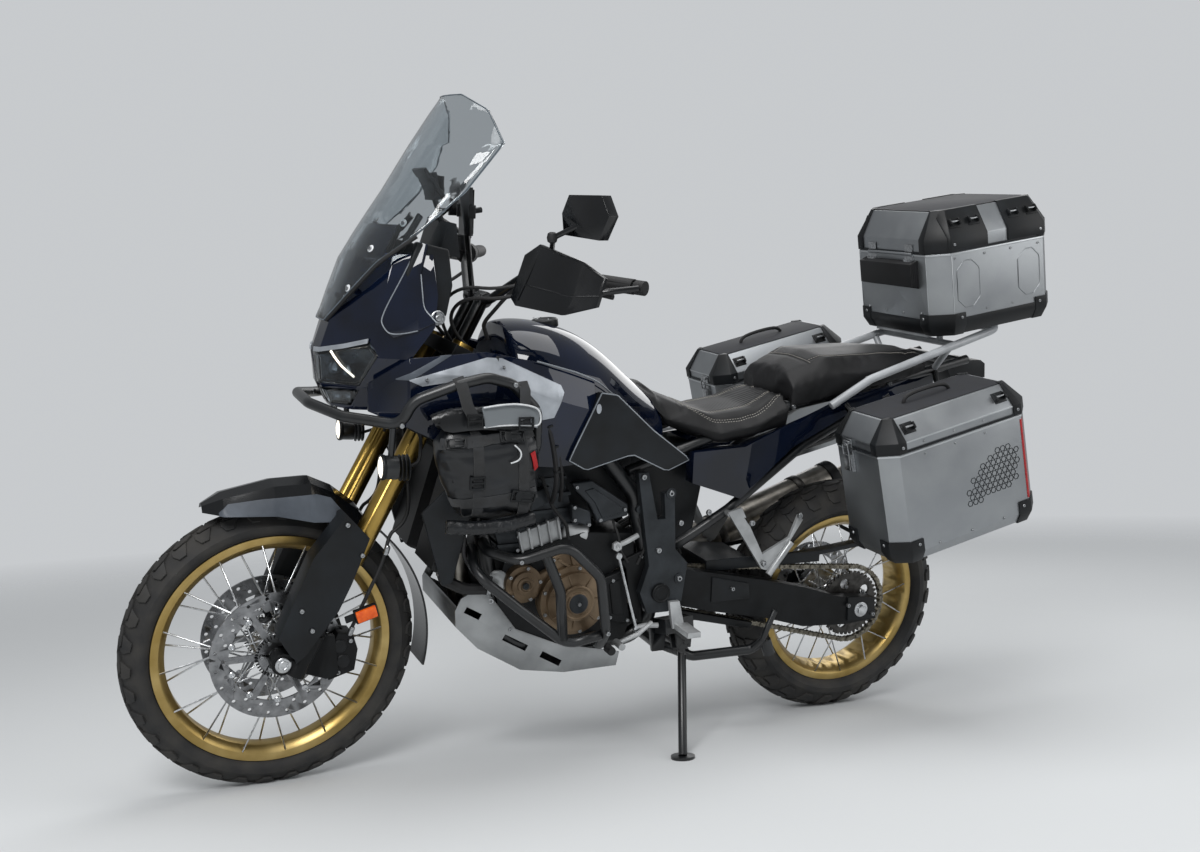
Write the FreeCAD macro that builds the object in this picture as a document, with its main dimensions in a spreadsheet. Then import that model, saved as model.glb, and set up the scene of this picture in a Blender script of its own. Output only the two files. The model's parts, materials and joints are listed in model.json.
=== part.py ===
import FreeCAD, Part
import math
import os
import Sketcher

# Adventure motorcycle, parked on its side stand with three hollow luggage cases.
# Everything is drawn on the upright bike: X forward, Y to its left, Z up, zero on the
# ground under the rear axle. Each piece then gets the lean of the parked bike, and what
# turns with the fork gets the turn of the bars first.

doc = FreeCAD.newDocument("adventure_motorcycle")
Vec = FreeCAD.Vector

# name, value in mm or degrees, what it is
SIZES = (
    ("wheelbase", 1575, "rear axle to front axle"),
    ("rake", 27.5, "steering axis from the vertical, degrees"),
    ("trail", 113, "steering axis ahead of the front contact point"),
    ("lean", 11.25, "lean of the parked bike to its left, degrees"),
    ("bars_turned", 3.56, "bars turned left as parked, degrees"),
    ("origin_ahead", 663, "origin ahead of the rear axle"),
    ("origin_left", 196, "origin to the left of the rear contact point"),
    ("front_tyre_radius", 347.7, "front tyre outside radius"),
    ("front_tyre_crown", 46, "round of the front tyre's section"),
    ("front_rim_flange", 281, "front rim flange radius"),
    ("front_rim_seat", 266.7, "front bead seat radius"),
    ("front_rim_half", 33, "half width over the front rim"),
    ("rear_tyre_radius", 333.6, "rear tyre outside radius"),
    ("rear_tyre_crown", 76, "round of the rear tyre's section"),
    ("rear_rim_flange", 243, "rear rim flange radius"),
    ("rear_rim_seat", 228.6, "rear bead seat radius"),
    ("rear_rim_half", 55, "half width over the rear rim"),
    ("flange_wall", 4, "rim flange thickness"),
    ("spoke_radius", 2.2, "spoke radius"),
    ("axle_radius", 12, "both axles"),
    ("axle_bore", 8, "hollow of both axles, radius"),
    ("axle_clearance", 0.5, "hub bore over the axle"),
    ("front_disc_radius", 155, "front brake disc"),
    ("front_disc_offset", 64, "middle of a front disc from the centre plane"),
    ("rear_disc_radius", 128, "rear brake disc"),
    ("rear_disc_offset", 93, "middle of the rear disc from the centre plane"),
    ("disc_wall", 5, "brake disc thickness"),
    ("fork_spacing", 216, "between the fork legs' middles"),
    ("fork_ahead", 20, "fork legs ahead of the steering axis"),
    ("fork_outer_radius", 27, "gold outer tube"),
    ("fork_inner_radius", 22, "inner tube"),
    ("fork_slide_height", 640, "lower end of the outer tubes along the axis"),
    ("fork_top", 1212, "upper end of the outer tubes along the axis"),
    ("lower_clamp", 975, "underside of the lower clamp along the axis"),
    ("upper_clamp", 1170, "underside of the upper clamp along the axis"),
    ("clamp_height", 32, "height of each clamp"),
    ("stem_radius", 14, "steering stem"),
    ("head_radius", 32, "head tube"),
    ("bar_radius", 11, "handlebar tube"),
    ("bar_reach", 478, "centre plane to a bar end"),
    ("grip_radius", 17, "rubber grip"),
    ("grip_length", 132, "rubber grip"),
    ("spar_radius", 20, "main frame tubes"),
    ("rail_radius", 13, "seat rail tubes"),
    ("guard_bar_radius", 12.5, "crash bar tube"),
    ("pivot_ahead", 635, "swingarm pivot ahead of the rear axle"),
    ("pivot_height", 448, "swingarm pivot above the ground"),
    ("sprocket_ahead", 716, "gearbox sprocket ahead of the rear axle"),
    ("sprocket_height", 458, "gearbox sprocket above the ground"),
    ("chain_line", 97, "chain from the centre plane"),
    ("chain_half", 8, "half depth of the chain's links"),
    ("chain_width", 20, "over the chain's pins"),
    ("rear_sprocket_radius", 106, "rear sprocket, pitch radius"),
    ("front_sprocket_radius", 41, "gearbox sprocket, pitch radius"),
    ("sprocket_wall", 7, "rear sprocket thickness"),
    ("moving_clearance", 5, "round what turns"),
    ("case_wall", 3, "luggage case wall"),
    ("pannier_length", 445, "pannier, front to back"),
    ("pannier_width", 249, "pannier, side to side"),
    ("pannier_height", 285, "pannier body without its lid"),
    ("pannier_lid_height", 78, "pannier lid"),
    ("pannier_chamfer", 38, "upright corners of the pannier"),
    ("pannier_tilt", 14, "pannier's rise to the rear, degrees"),
    ("pannier_inner", 241, "pannier's inner wall from the centre plane"),
    ("pannier_ahead", -88, "middle of the pannier's floor"),
    ("right_pannier_inner", 265, "right pannier's inner wall, further out round the silencer"),
    ("right_pannier_ahead", -40, "middle of the right pannier's floor"),
    ("right_pannier_floor", 675, "middle of the right pannier's floor above the ground"),
    ("pannier_floor", 612, "middle of the pannier's floor above the ground"),
    ("topbox_length", 404, "top case, front to back"),
    ("topbox_width", 400, "top case, side to side"),
    ("topbox_height", 222, "top case body without its lid"),
    ("topbox_lid_height", 108, "top case lid"),
    ("topbox_chamfer", 48, "upright corners of the top case"),
    ("topbox_tilt", 10, "top case's rise to the rear, degrees"),
    ("topbox_ahead", -362, "middle of the top case's floor"),
    ("topbox_floor", 1126, "middle of the top case's floor above the ground"),
    ("lid_seat", 0.5, "gap between a lid and its case"),
    ("seat_gap", 0.3, "gap round soft and bolted pieces"),
    ("screen_wall", 4, "windscreen thickness"),
    ("panel_wall", 4, "plastic panel thickness"),
    ("stand_ahead", 560, "side stand pivot ahead of the rear axle"),
    ("stand_side", 172, "side stand pivot from the centre plane"),
    ("stand_height", 305, "side stand pivot above the ground"),
    ("stand_foot_ahead", 627, "side stand foot ahead of the rear axle"),
    ("stand_foot_left", 345, "side stand foot on the ground, left of the wheels' line"),
    ("foot_radius", 30, "side stand foot"),
    ("foot_wall", 7, "side stand foot"),
    ("pin_clearance", 0.3, "stand and hinge pins"),
)

sheet = doc.addObject("Spreadsheet::Sheet", "sizes")
for row, (alias, value, meaning) in enumerate(SIZES, 1):
    sheet.set(f"A{row}", meaning)
    sheet.set(f"B{row}", str(value))
    sheet.setAlias(f"B{row}", alias)
doc.recompute()


class Size(float):
    """A number that remembers its formula on the sheet, so features can be bound to it."""

    def __new__(cls, value, formula):
        made = float.__new__(cls, value)
        made.formula = formula
        return made

    def __add__(self, other):
        return Size(float(self) + float(other), f"({self.formula} + {formula_of(other)})")

    def __radd__(self, other):
        return Size(float(other) + float(self), f"({formula_of(other)} + {self.formula})")

    def __sub__(self, other):
        return Size(float(self) - float(other), f"({self.formula} - {formula_of(other)})")

    def __rsub__(self, other):
        return Size(float(other) - float(self), f"({formula_of(other)} - {self.formula})")

    def __mul__(self, other):
        return Size(float(self) * float(other), f"({self.formula} * {formula_of(other)})")

    __rmul__ = __mul__

    def __truediv__(self, other):
        return Size(float(self) / float(other), f"({self.formula} / {formula_of(other)})")

    def __neg__(self):
        return Size(-float(self), f"(0 - {self.formula})")


def formula_of(number):
    return number.formula if isinstance(number, Size) else repr(float(number))


class Sizes:
    """The sheet's cells by name."""


s = Sizes()
for alias, value, meaning in SIZES:
    setattr(s, alias, Size(float(getattr(sheet, alias)), f"sizes.{alias}"))

# Places on the steering axis

RAKE = math.radians(s.rake)
AXIS = Vec(-math.sin(RAKE), 0, math.cos(RAKE))
AHEAD = Vec(math.cos(RAKE), 0, math.sin(RAKE))
AXIS_FOOT = Vec(s.wheelbase + s.trail, 0, 0)
REAR_AXLE = Vec(0, 0, s.rear_tyre_radius)
FRONT_AXLE = Vec(s.wheelbase, 0, s.front_tyre_radius)
PIVOT = Vec(s.pivot_ahead, 0, s.pivot_height)
SPROCKET = Vec(s.sprocket_ahead, 0, s.sprocket_height)


def on_axis(along, ahead=0, side=0):
    """A point by its distance along the steering axis, ahead of it and to its left."""
    return AXIS_FOOT + AXIS * along + AHEAD * ahead + Vec(0, side, 0)


# How the upright bike comes to stand on its side stand


def turned_about(point, axis, degrees):
    return FreeCAD.Placement(Vec(0, 0, 0), FreeCAD.Rotation(axis, degrees), point)


def lowest(placed, centre, axle, radius, crown):
    """The lowest height of a tyre whose crown is round."""
    centre = placed.multVec(centre)
    axle = placed.Rotation.multVec(axle)
    return centre.z - (radius - crown) * math.sqrt(1 - axle.z ** 2) - crown


STEER = turned_about(AXIS_FOOT, AXIS, s.bars_turned)
LEAN = FreeCAD.Placement(Vec(0, 0, 0), FreeCAD.Rotation(Vec(1, 0, 0), -s.lean))
LEFT = Vec(0, 1, 0)


def wheel_drops(placed):
    front = lowest(placed * STEER, FRONT_AXLE, LEFT, s.front_tyre_radius, s.front_tyre_crown)
    rear = lowest(placed, REAR_AXLE, LEFT, s.rear_tyre_radius, s.rear_tyre_crown)
    return front, rear


front_drop, rear_drop = wheel_drops(LEAN)
PITCH = FreeCAD.Placement(
    Vec(0, 0, 0), FreeCAD.Rotation(LEFT, math.degrees((front_drop - rear_drop) / s.wheelbase))
)
front_drop, rear_drop = wheel_drops(PITCH * LEAN)
REST = FreeCAD.Placement(Vec(-s.origin_ahead, -s.origin_left, -rear_drop), FreeCAD.Rotation())
PARKED = REST * PITCH * LEAN
STEERED = PARKED * STEER

# Shapes shared by several pieces


def polygon(points):
    return Part.makePolygon(list(points) + [points[0]])


def prism(outline, side_from, side_to):
    """An outline of (x, z) drawn on the centre plane, thick from one side to the other."""
    wire = polygon([Vec(x, side_from, z) for x, z in outline])
    return Part.Face(wire).extrude(Vec(0, side_to - side_from, 0))


def rod(start, end, radius):
    return Part.makeCylinder(radius, (end - start).Length, start, end - start)


def tube(points, radius, bend):
    """A round bar along straight runs joined by tangent arcs: cylinders and torus bends."""
    points = [Vec(*p) for p in points]
    ring = Part.makeCircle(radius, points[0], points[1] - points[0])
    skin = [Part.Face(Part.Wire([ring]))]
    here = points[0]
    for before, corner, after in zip(points, points[1:], points[2:]):
        back = (before - corner).normalize()
        ahead = (after - corner).normalize()
        half = back.getAngle(ahead) / 2
        trim = min(bend / math.tan(half), 0.45 * min((before - corner).Length,
                                                     (after - corner).Length))
        first = corner + back * trim
        middle = corner + (back + ahead).normalize() * (trim / math.cos(half))
        skin.append(ring.extrude(first - here))
        ring = ring.translated(first - here)
        turn = math.degrees(math.pi - 2 * half)
        across = ahead.cross(back).normalize()
        skin.append(ring.revolve(middle, across, turn))
        ring = ring.rotated(middle, across, turn)
        here = corner + ahead * trim
    skin.append(ring.extrude(points[-1] - here))
    ring = ring.translated(points[-1] - here)
    skin.append(Part.Face(Part.Wire([ring])))
    shell = Part.Shell([face for piece in skin for face in piece.Faces])
    shell.sewShape()
    solid = Part.Solid(shell)
    if solid.Volume < 0:
        solid.reverse()
    return solid


def mirrored(shape):
    return shape.mirror(Vec(0, 0, 0), LEFT)


def both_sides(shape):
    return Part.makeCompound([shape, mirrored(shape)])


def joined(shapes):
    shapes = list(shapes)
    made = shapes[0].fuse(shapes[1:]) if len(shapes) > 1 else shapes[0]
    return made.removeSplitter()


def loft(sections, ruled=True):
    """A solid through a few closed outlines of points."""
    return Part.makeLoft([polygon(list(points)) for points in sections], True, ruled)


# Features with their sizes bound to the sheet


def sketch_on(body, role, points, name):
    """A closed outline whose corners are held by sizes from the body's own origin."""
    sketch = body.newObject("Sketcher::SketchObject", name)
    plane = [feature for feature in body.Origin.OriginFeatures if feature.Role == role][0]
    sketch.AttachmentSupport = [(plane, "")]
    sketch.MapMode = "FlatFace"
    count = len(points)
    corners = [Vec(x, y, 0) for x, y in points]
    lines = [Part.LineSegment(corners[i], corners[(i + 1) % count]) for i in range(count)]
    sketch.addGeometry(lines, False)
    sketch.addConstraint(
        [Sketcher.Constraint("Coincident", i, 2, (i + 1) % count, 1) for i in range(count)]
    )
    for i, corner in enumerate(points):
        for kind, value in zip(("DistanceX", "DistanceY"), corner):
            index = sketch.addConstraint(Sketcher.Constraint(kind, -1, 1, i, 1, float(value)))
            if isinstance(value, Size):
                sketch.setExpression(f"Constraints[{index}]", value.formula)
    return sketch


def turned_body(name, profile):
    """A body turned about its own Y axis from a profile of (side, radius)."""
    body = doc.addObject("PartDesign::Body", name)
    turning = body.newObject("PartDesign::Revolution", name + "_turning")
    turning.Profile = sketch_on(body, "YZ_Plane", profile, name + "_profile")
    turning.ReferenceAxis = (turning.Profile[0], ["H_Axis"])
    turning.Angle = 360
    body.Tip = turning
    doc.recompute()
    return body


PIECES = []


def finish(piece, name, placement):
    """Names a sub-part and gives it its place on the parked bike."""
    piece.Label = name
    piece.Placement = placement
    PIECES.append(piece)
    return piece


def shaped(name, shape, placement=PARKED):
    """A sub-part whose form comes from Part's own operations."""
    piece = doc.addObject("Part::Feature", name)
    piece.Shape = shape
    return finish(piece, name, placement)


def at(point):
    return FreeCAD.Placement(point, FreeCAD.Rotation())


# Wheels


def tyre_profile(radius, crown, flange, bead_seat, bead_half):
    """The section as (side, radius): beads, sidewalls and a round crown."""
    middle = radius - crown
    crown_angles = [11.25 + 22.5 * step for step in range(4)]
    left = [(crown * math.sin(math.radians(a)), middle + crown * math.cos(math.radians(a)))
            for a in crown_angles]
    left += [(crown, middle - 8), (bead_half, flange + 1), (bead_half, bead_seat + s.seat_gap)]
    return [(-y, r) for y, r in left] + list(reversed(left))


def rim_profile(half, flange, bead_seat, wall):
    """A drop centre rim: flanges, bead seats, well and the outer skin."""
    outer = [(half, flange), (half - wall, flange), (half - wall, bead_seat),
             (half * 0.6, bead_seat), (half * 0.4, bead_seat - 13)]
    inner = [(half, bead_seat - 4), (half * 0.5, bead_seat - 20)]
    section = outer + [(-y, r) for y, r in reversed(outer)]
    return section + [(-y, r) for y, r in inner] + list(reversed(inner))


def spokes(count, hub_radius, hub_half, rim_radius, rim_half, cross):
    """Crossed spokes as slim six-sided bars from the hub flanges to the rim's edges."""
    bars = []
    for number in range(count):
        side = 1 if number % 2 else -1
        at_rim = 360 / count * (number + 0.5)
        at_hub = at_rim + (cross if (number // 2) % 2 else -cross)
        ends = []
        for angle, radius, half in ((at_hub, hub_radius, hub_half), (at_rim, rim_radius, rim_half)):
            turn = math.radians(angle)
            ends.append(Vec(radius * math.cos(turn), side * half, radius * math.sin(turn)))
        start, end = ends
        along = (end - start).normalize()
        across = along.cross(LEFT).normalize() * s.spoke_radius
        corners = []
        for step in range(6):
            turn = FreeCAD.Rotation(along, 60 * step)
            corners.append(start + turn.multVec(across))
        bars.append(Part.Face(polygon(corners)).extrude(end - start))
    return bars


def wheel(prefix, radius, crown, flange, bead_seat, half, hub, spoke_ends, place):
    """Tyre, rim and laced hub of one wheel, drawn about its own axle."""
    wall = s.flange_wall
    tyre = turned_body(
        prefix + "_tyre", tyre_profile(radius, crown, flange, bead_seat, half - wall - s.seat_gap)
    )
    finish(tyre, prefix + "_tyre", place)
    rim = turned_body(prefix + "_rim", rim_profile(half, flange, bead_seat, wall))
    hub_body = turned_body(prefix + "_hub", hub)
    bars = spokes(32, *spoke_ends)
    laced = hub_body.Shape.fuse(bars).cut(rim.Shape)
    finish(rim, prefix + "_rim", place)
    shaped(prefix + "_hub_and_spokes", laced, place)


def hub_profile(ends, flange_half, flange_radius, barrel):
    """A hub with two spoke flanges: its ends may stand out differently left and right."""
    left, right = ends
    bore = s.axle_radius + s.axle_clearance
    return [(-right, bore), (-right, 30), (-flange_half - 4, 30), (-flange_half - 4, flange_radius),
            (-flange_half + 4, flange_radius), (-flange_half + 6, barrel),
            (flange_half - 6, barrel), (flange_half - 4, flange_radius),
            (flange_half + 4, flange_radius), (flange_half + 4, 30), (left, 30), (left, bore)]


FRONT_WHEEL = STEERED * at(FRONT_AXLE)
REAR_WHEEL = PARKED * at(REAR_AXLE)

disc_face = s.front_disc_offset - s.disc_wall / 2
wheel("front", s.front_tyre_radius, s.front_tyre_crown, s.front_rim_flange, s.front_rim_seat,
      s.front_rim_half, hub_profile((disc_face, disc_face), 36, 42, 24),
      (40, 36, s.front_rim_seat - 6, s.front_rim_half - 3, 58), FRONT_WHEEL)
rear_disc_face = s.rear_disc_offset - s.disc_wall / 2
sprocket_face = s.chain_line - s.sprocket_wall / 2
wheel("rear", s.rear_tyre_radius, s.rear_tyre_crown, s.rear_rim_flange, s.rear_rim_seat,
      s.rear_rim_half, hub_profile((sprocket_face, rear_disc_face), 46, 62, 40),
      (60, 46, s.rear_rim_seat - 6, s.rear_rim_half - 3, 50), REAR_WHEEL)


DISC_HOLES = 20


def brake_disc(middle, radius, inner, arms):
    """A ring on a spider of arms, drawn about the axle at a distance to the left."""
    low = middle - s.disc_wall / 2
    edges = [Part.Wire([Part.makeCircle(r, Vec(0, low, 0), LEFT)]) for r in (radius, inner)]
    for row, share in enumerate((0.28, 0.72)):
        reach = inner + (radius - inner) * share
        for number in range(DISC_HOLES):
            turn = 2 * math.pi * (number + row / 2) / DISC_HOLES
            middle_of_hole = Vec(reach * math.cos(turn), low, reach * math.sin(turn))
            edges.append(Part.Wire([Part.makeCircle(4.5, middle_of_hole, LEFT)]))
    ring = Part.makeFace(edges, "Part::FaceMakerBullseye").extrude(Vec(0, s.disc_wall, 0))
    boss = Part.makeCylinder(46, s.disc_wall, Vec(0, low, 0), LEFT)
    boss = boss.cut(Part.makeCylinder(20, s.disc_wall, Vec(0, low, 0), LEFT))
    spider = [ring, boss]
    for number in range(arms):
        arm = Part.makeBox(inner - 38, s.disc_wall, 16, Vec(42, low, -8))
        arm.rotate(Vec(0, 0, 0), LEFT, 360 / arms * number)
        spider.append(arm)
    return joined(spider)


shaped("front_brake_discs",
       Part.makeCompound([brake_disc(s.front_disc_offset, s.front_disc_radius, 112, 6),
                          brake_disc(-s.front_disc_offset, s.front_disc_radius, 112, 6)]),
       FRONT_WHEEL)
shaped("rear_brake_disc", brake_disc(-s.rear_disc_offset, s.rear_disc_radius, 90, 5), REAR_WHEEL)

TEETH = 42


def sprocket():
    """The rear sprocket, its tips kept clear of the chain's inside."""
    tip = s.rear_sprocket_radius - s.chain_half - s.moving_clearance
    root = tip - 7
    outline = []
    for tooth in range(TEETH):
        for share, radius in ((0.0, root), (0.3, root), (0.45, tip), (0.85, tip)):
            turn = 2 * math.pi * (tooth + share) / TEETH
            outline.append((radius * math.cos(turn), radius * math.sin(turn)))
    low = s.chain_line - s.sprocket_wall / 2
    plate = prism(outline, low, low + s.sprocket_wall)
    plate = plate.cut(Part.makeCylinder(20, s.sprocket_wall, Vec(0, low, 0), LEFT))
    for number in range(5):
        turn = 2 * math.pi * number / 5
        window = Vec(60 * math.cos(turn), low, 60 * math.sin(turn))
        plate = plate.cut(Part.makeCylinder(14, s.sprocket_wall, window, LEFT))
    return plate


shaped("rear_sprocket", sprocket(), REAR_WHEEL)

# Fork, clamps and what turns with them

LEG = s.fork_spacing / 2


def leg_rod(start, end, radius, side):
    return rod(on_axis(start, s.fork_ahead, side), on_axis(end, s.fork_ahead, side), radius)


outer_tubes = [leg_rod(s.fork_slide_height, s.fork_top, s.fork_outer_radius, side * LEG)
               for side in (1, -1)]
AXLE_ALONG = (FRONT_AXLE - AXIS_FOOT).dot(AXIS)


CALIPER_BRACKET = ((1570, 360), (1545, 410), (1450, 396), (1440, 300), (1470, 290), (1570, 330))


def fork_lowers():
    pieces = [rod(FRONT_AXLE - LEFT * (LEG + 22), FRONT_AXLE + LEFT * (LEG + 22), s.axle_radius)]
    for side in (1, -1):
        middle = side * LEG
        pieces.append(leg_rod(AXLE_ALONG - 14, s.fork_slide_height, s.fork_inner_radius, middle))
        pieces.append(leg_rod(AXLE_ALONG - 18, AXLE_ALONG + 90, s.fork_inner_radius + 4, middle))
        boss = FRONT_AXLE + LEFT * (middle - 20)
        pieces.append(rod(boss, boss + LEFT * 40, 26))
        bracket = prism(CALIPER_BRACKET, 92, 108)
        pieces.append(bracket if side > 0 else mirrored(bracket))
    bore = rod(FRONT_AXLE - LEFT * 200, FRONT_AXLE + LEFT * 200, s.axle_bore)
    return joined(pieces).cut(bore)


def clamp(start, reach):
    """A fork clamp square to the steering axis, with its two bores left to the tubes."""
    half = LEG + s.fork_outer_radius + 10
    outline = [(-reach, -45), (-reach, 45), (s.fork_ahead - 30, half), (s.fork_ahead + 30, half),
               (s.fork_ahead + 42, 60), (s.fork_ahead + 42, -60), (s.fork_ahead + 30, -half),
               (s.fork_ahead - 30, -half)]
    wire = polygon([on_axis(start, ahead, side) for ahead, side in outline])
    return Part.Face(wire).extrude(AXIS * s.clamp_height)


lowers = fork_lowers()
clamps = joined([clamp(s.lower_clamp, 34), clamp(s.upper_clamp, 30),
                 rod(on_axis(s.lower_clamp), on_axis(s.upper_clamp), s.stem_radius)])
clamps = clamps.cut(outer_tubes)
shaped("fork_outer_tubes", Part.makeCompound(outer_tubes), STEERED)
shaped("fork_lowers_and_axle", lowers, STEERED)
shaped("fork_clamps", clamps, STEERED)

BAR_POINTS = [(1075, 0, 1180), (1075, 70, 1180), (1040, 190, 1246), (985, 320, 1262),
              (893, s.bar_reach, 1256)]


def handlebar():
    left = tube(BAR_POINTS, s.bar_radius, 60)
    risers = []
    for side in (34, -34):
        foot = on_axis(s.upper_clamp + s.clamp_height, 0, side)
        top = Vec(1075, side, 1180)
        risers.append(rod(foot, top, 17))
        risers.append(rod(top - LEFT * 16, top + LEFT * 16, 20))
    phone = prism(((1098, 1329), (1107, 1329), (1110, 1443), (1101, 1443)), -58, 18)
    stem = rod(Vec(1080, -20, 1180), Vec(1102, -20, 1345), 7)
    return joined([left, mirrored(left), phone, stem] + risers)


bar = handlebar().cut(clamps)


def controls():
    """Grips, switch pods, levers and bar-end weights on the left."""
    inner = Vec(*BAR_POINTS[-2])
    end = Vec(*BAR_POINTS[-1])
    along = (end - inner).normalize()
    grip = rod(end - along * (s.grip_length + 6), end - along * 6, s.grip_radius)
    weight = rod(end, end + along * 22, 16)
    flange = rod(end - along * (s.grip_length + 10), end - along * (s.grip_length + 5), 22)
    pod = rod(inner + along * -34, inner + along * 6, 27)
    perch = Vec(inner.x + 30, inner.y - 8, inner.z + 2)
    lever = tube([perch, (perch.x + 10, perch.y + 40, perch.z - 14),
                  (end.x + 52, end.y - 6, end.z - 22)], 6, 40)
    bracket = rod(inner + Vec(0, -12, 0), perch, 9)
    return joined([grip, flange, weight, pod, bracket, lever])


left_controls = controls()
shaped("handlebar", bar, STEERED)
shaped("grips_and_levers",
       Part.makeCompound([left_controls.cut(bar), mirrored(left_controls).cut(bar)]), STEERED)


def guard_section(side, rows):
    return [Vec(x, side, z) for x, z in rows]


# side, then (x, z) round the guard: outer low, outer top, inner top, inner low
HANDGUARD = (
    (302, ((1112, 1214), (1082, 1308), (1074, 1308), (1104, 1214))),
    (330, ((1112, 1200), (1058, 1334), (1050, 1333), (1104, 1199))),
    (440, ((1050, 1192), (1004, 1306), (996, 1304), (1042, 1192))),
    (484, ((990, 1214), (972, 1276), (966, 1274), (983, 1214))),
)
guard_left = loft([guard_section(side, rows) for side, rows in HANDGUARD])
guard_left = joined([guard_left, rod(Vec(1084, 314, 1266), Vec(990, 314, 1258), 7),
                     rod(Vec(975, 480, 1245), Vec(900, 500, 1256), 7)])
guard_left = guard_left.cut([bar, left_controls])
shaped("handguards", both_sides(guard_left), STEERED)


def mirror():
    """A six-cornered mirror on a bent stalk."""
    middle = Vec(992, 424, 1398)
    corners = ((-62, -40), (-70, 6), (-50, 46), (52, 50), (78, 8), (50, -44))
    face = polygon([middle + Vec(-0.30 * a - 14, 0.95 * a, b) for a, b in corners])
    head = Part.Face(face).extrude(Vec(26, 8, 0))
    stalk = tube([(1004, 292, 1272), (1016, 300, 1320), (1050, 380, 1352), (990, 420, 1390)], 6, 20)
    return joined([head, stalk])


mirror_left = mirror().cut([bar, left_controls, guard_left])
shaped("mirrors", both_sides(mirror_left), STEERED)

# Mudguard over the front tyre: x, then half the arch as (side, height), outside then inside
FRONT_FENDER = (
    (1756, ((0, 700), (24, 696), (24, 692), (0, 696))),
    (1690, ((0, 736), (36, 728), (66, 694), (62, 694), (34, 723), (0, 731))),
    (1575, ((0, 760), (40, 750), (72, 688), (68, 688), (38, 745), (0, 755))),
    (1491, ((0, 762), (42, 752), (76, 668), (72, 668), (40, 747), (0, 757))),
    (1436, ((0, 736), (42, 726), (76, 664), (72, 664), (40, 721), (0, 731))),
    (1380, ((0, 690), (41, 681), (73, 630), (69, 630), (39, 676), (0, 685))),
    (1350, ((0, 650), (40, 642), (70, 600), (66, 600), (38, 637), (0, 645))),
)


def arch_section(x, half):
    left = [Vec(x, y, z) for y, z in half]
    outside = left[:len(left) // 2]
    inside = left[len(left) // 2:]
    mirror_out = [Vec(p.x, -p.y, p.z) for p in reversed(outside[1:])]
    mirror_in = [Vec(p.x, -p.y, p.z) for p in reversed(inside[:-1])]
    return mirror_out + outside + inside + mirror_in


def front_fender():
    rows = [arch_section(x, half) for x, half in FRONT_FENDER[1:]]
    tip = Vec(1760, 0, 697)
    nose = [p + (tip - p) * 0.62 for p in rows[0]]
    arch = loft([nose] + rows)
    inner = s.front_tyre_radius + 22
    tail = Part.makeCylinder(inner + 5, 100, Vec(0, -50, 0), LEFT)
    tail = tail.cut(Part.makeCylinder(inner, 100, Vec(0, -50, 0), LEFT))
    wedge = prism([(0, 0), (-400, 600), (-600, 200), (-520, -116)], -60, 60)
    tail = tail.common(wedge)
    tail.translate(FRONT_AXLE)
    made = joined([arch, tail]).cut(outer_tubes + [lowers])
    return max(made.Solids, key=lambda solid: solid.Volume)


fender = front_fender()
shaped("front_fender", fender, STEERED)

FORK_GUARD = ((1431, 699), (1378, 639), (1419, 534), (1450, 470), (1525, 372), (1549, 352),
              (1588, 418), (1546, 520), (1509, 602))


def fork_guard():
    plate = joined([prism(FORK_GUARD, 86, 146),
                    rod(Vec(1430, 70, 684), Vec(1430, 100, 684), 8)])
    plate = plate.cut(leg_rod(300, 1300, s.fork_outer_radius + 1, LEG))
    boss = rod(FRONT_AXLE, FRONT_AXLE + LEFT * 300, 28)
    below = prism([(1575, 300), (1575, 352), (1400, 352), (1400, 300)], 0, 200)
    return plate.cut([boss, below, lowers, fender])


guard_solids = [solid for solid in fork_guard().Solids if solid.Volume > 1000]
shaped("fork_guards", both_sides(Part.makeCompound(guard_solids)), STEERED)


def caliper():
    """A brake caliper with the disc's slot, behind the left leg."""
    block = prism(((1462, 282), (1400, 300), (1392, 352), (1404, 392), (1440, 398), (1462, 350)),
                  s.front_disc_offset - 32, s.front_disc_offset + 36)
    slot = Part.makeCylinder(s.front_disc_radius + s.moving_clearance, 0.1 + s.disc_wall + 10,
                             FRONT_AXLE + LEFT * (s.front_disc_offset - s.disc_wall / 2 - 5), LEFT)
    spokes_room = Part.makeCylinder(126, 90, FRONT_AXLE, LEFT)
    rim_room = Part.makeCylinder(400, s.front_rim_half + 8, FRONT_AXLE, LEFT)
    return block.cut([slot, spokes_room, rim_room, lowers])


left_caliper = caliper()
left_caliper = max(left_caliper.Solids, key=lambda solid: solid.Volume)
left_caliper = left_caliper.cut(Part.makeCompound(guard_solids))
left_caliper = max(left_caliper.Solids, key=lambda solid: solid.Volume)
shaped("front_calipers", both_sides(left_caliper), STEERED)

# Frame

FRAME_LEFT = (
    ((tuple(on_axis(1050, -20, 14)), tuple(on_axis(1036, -100, 40)), (1080, 118, 560), (1050, 122, 372), (1000, 122, 330), (700, 128, 318),
      (640, 131, 360), (640, 131, 470), (700, 136, 700), (860, 128, 900), (1060, 60, 960),
      tuple(on_axis(1130, -20, 12))),
     s.spar_radius),
    (((720, 141, 760), (480, 120, 830), (240, 112, 905), (-60, 112, 960), (-330, 106, 1020)),
     s.rail_radius),
    (((640, 142, 520), (420, 128, 640), (200, 122, 800), (-60, 118, 930)), s.rail_radius),
)
NOSE_ARM = 176
HEAD_LOW = s.lower_clamp + s.clamp_height + 2
HEAD_HIGH = s.upper_clamp - 2


def nose_frame():
    """The arm ahead of the head tube that carries cowl, lamps and dash."""
    arm = rod(on_axis(1090), on_axis(1090, NOSE_ARM), 15)
    cross = rod(Vec(1330, -168, 1056), Vec(1330, 168, 1056), 10)
    posts = [rod(Vec(1330, side * 50, 1056), Vec(1206, side * 50, 1286), 8) for side in (1, -1)]
    return [arm, cross] + posts


frame_tubes = [tube(points, radius, 70) for points, radius in FRAME_LEFT]


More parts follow.
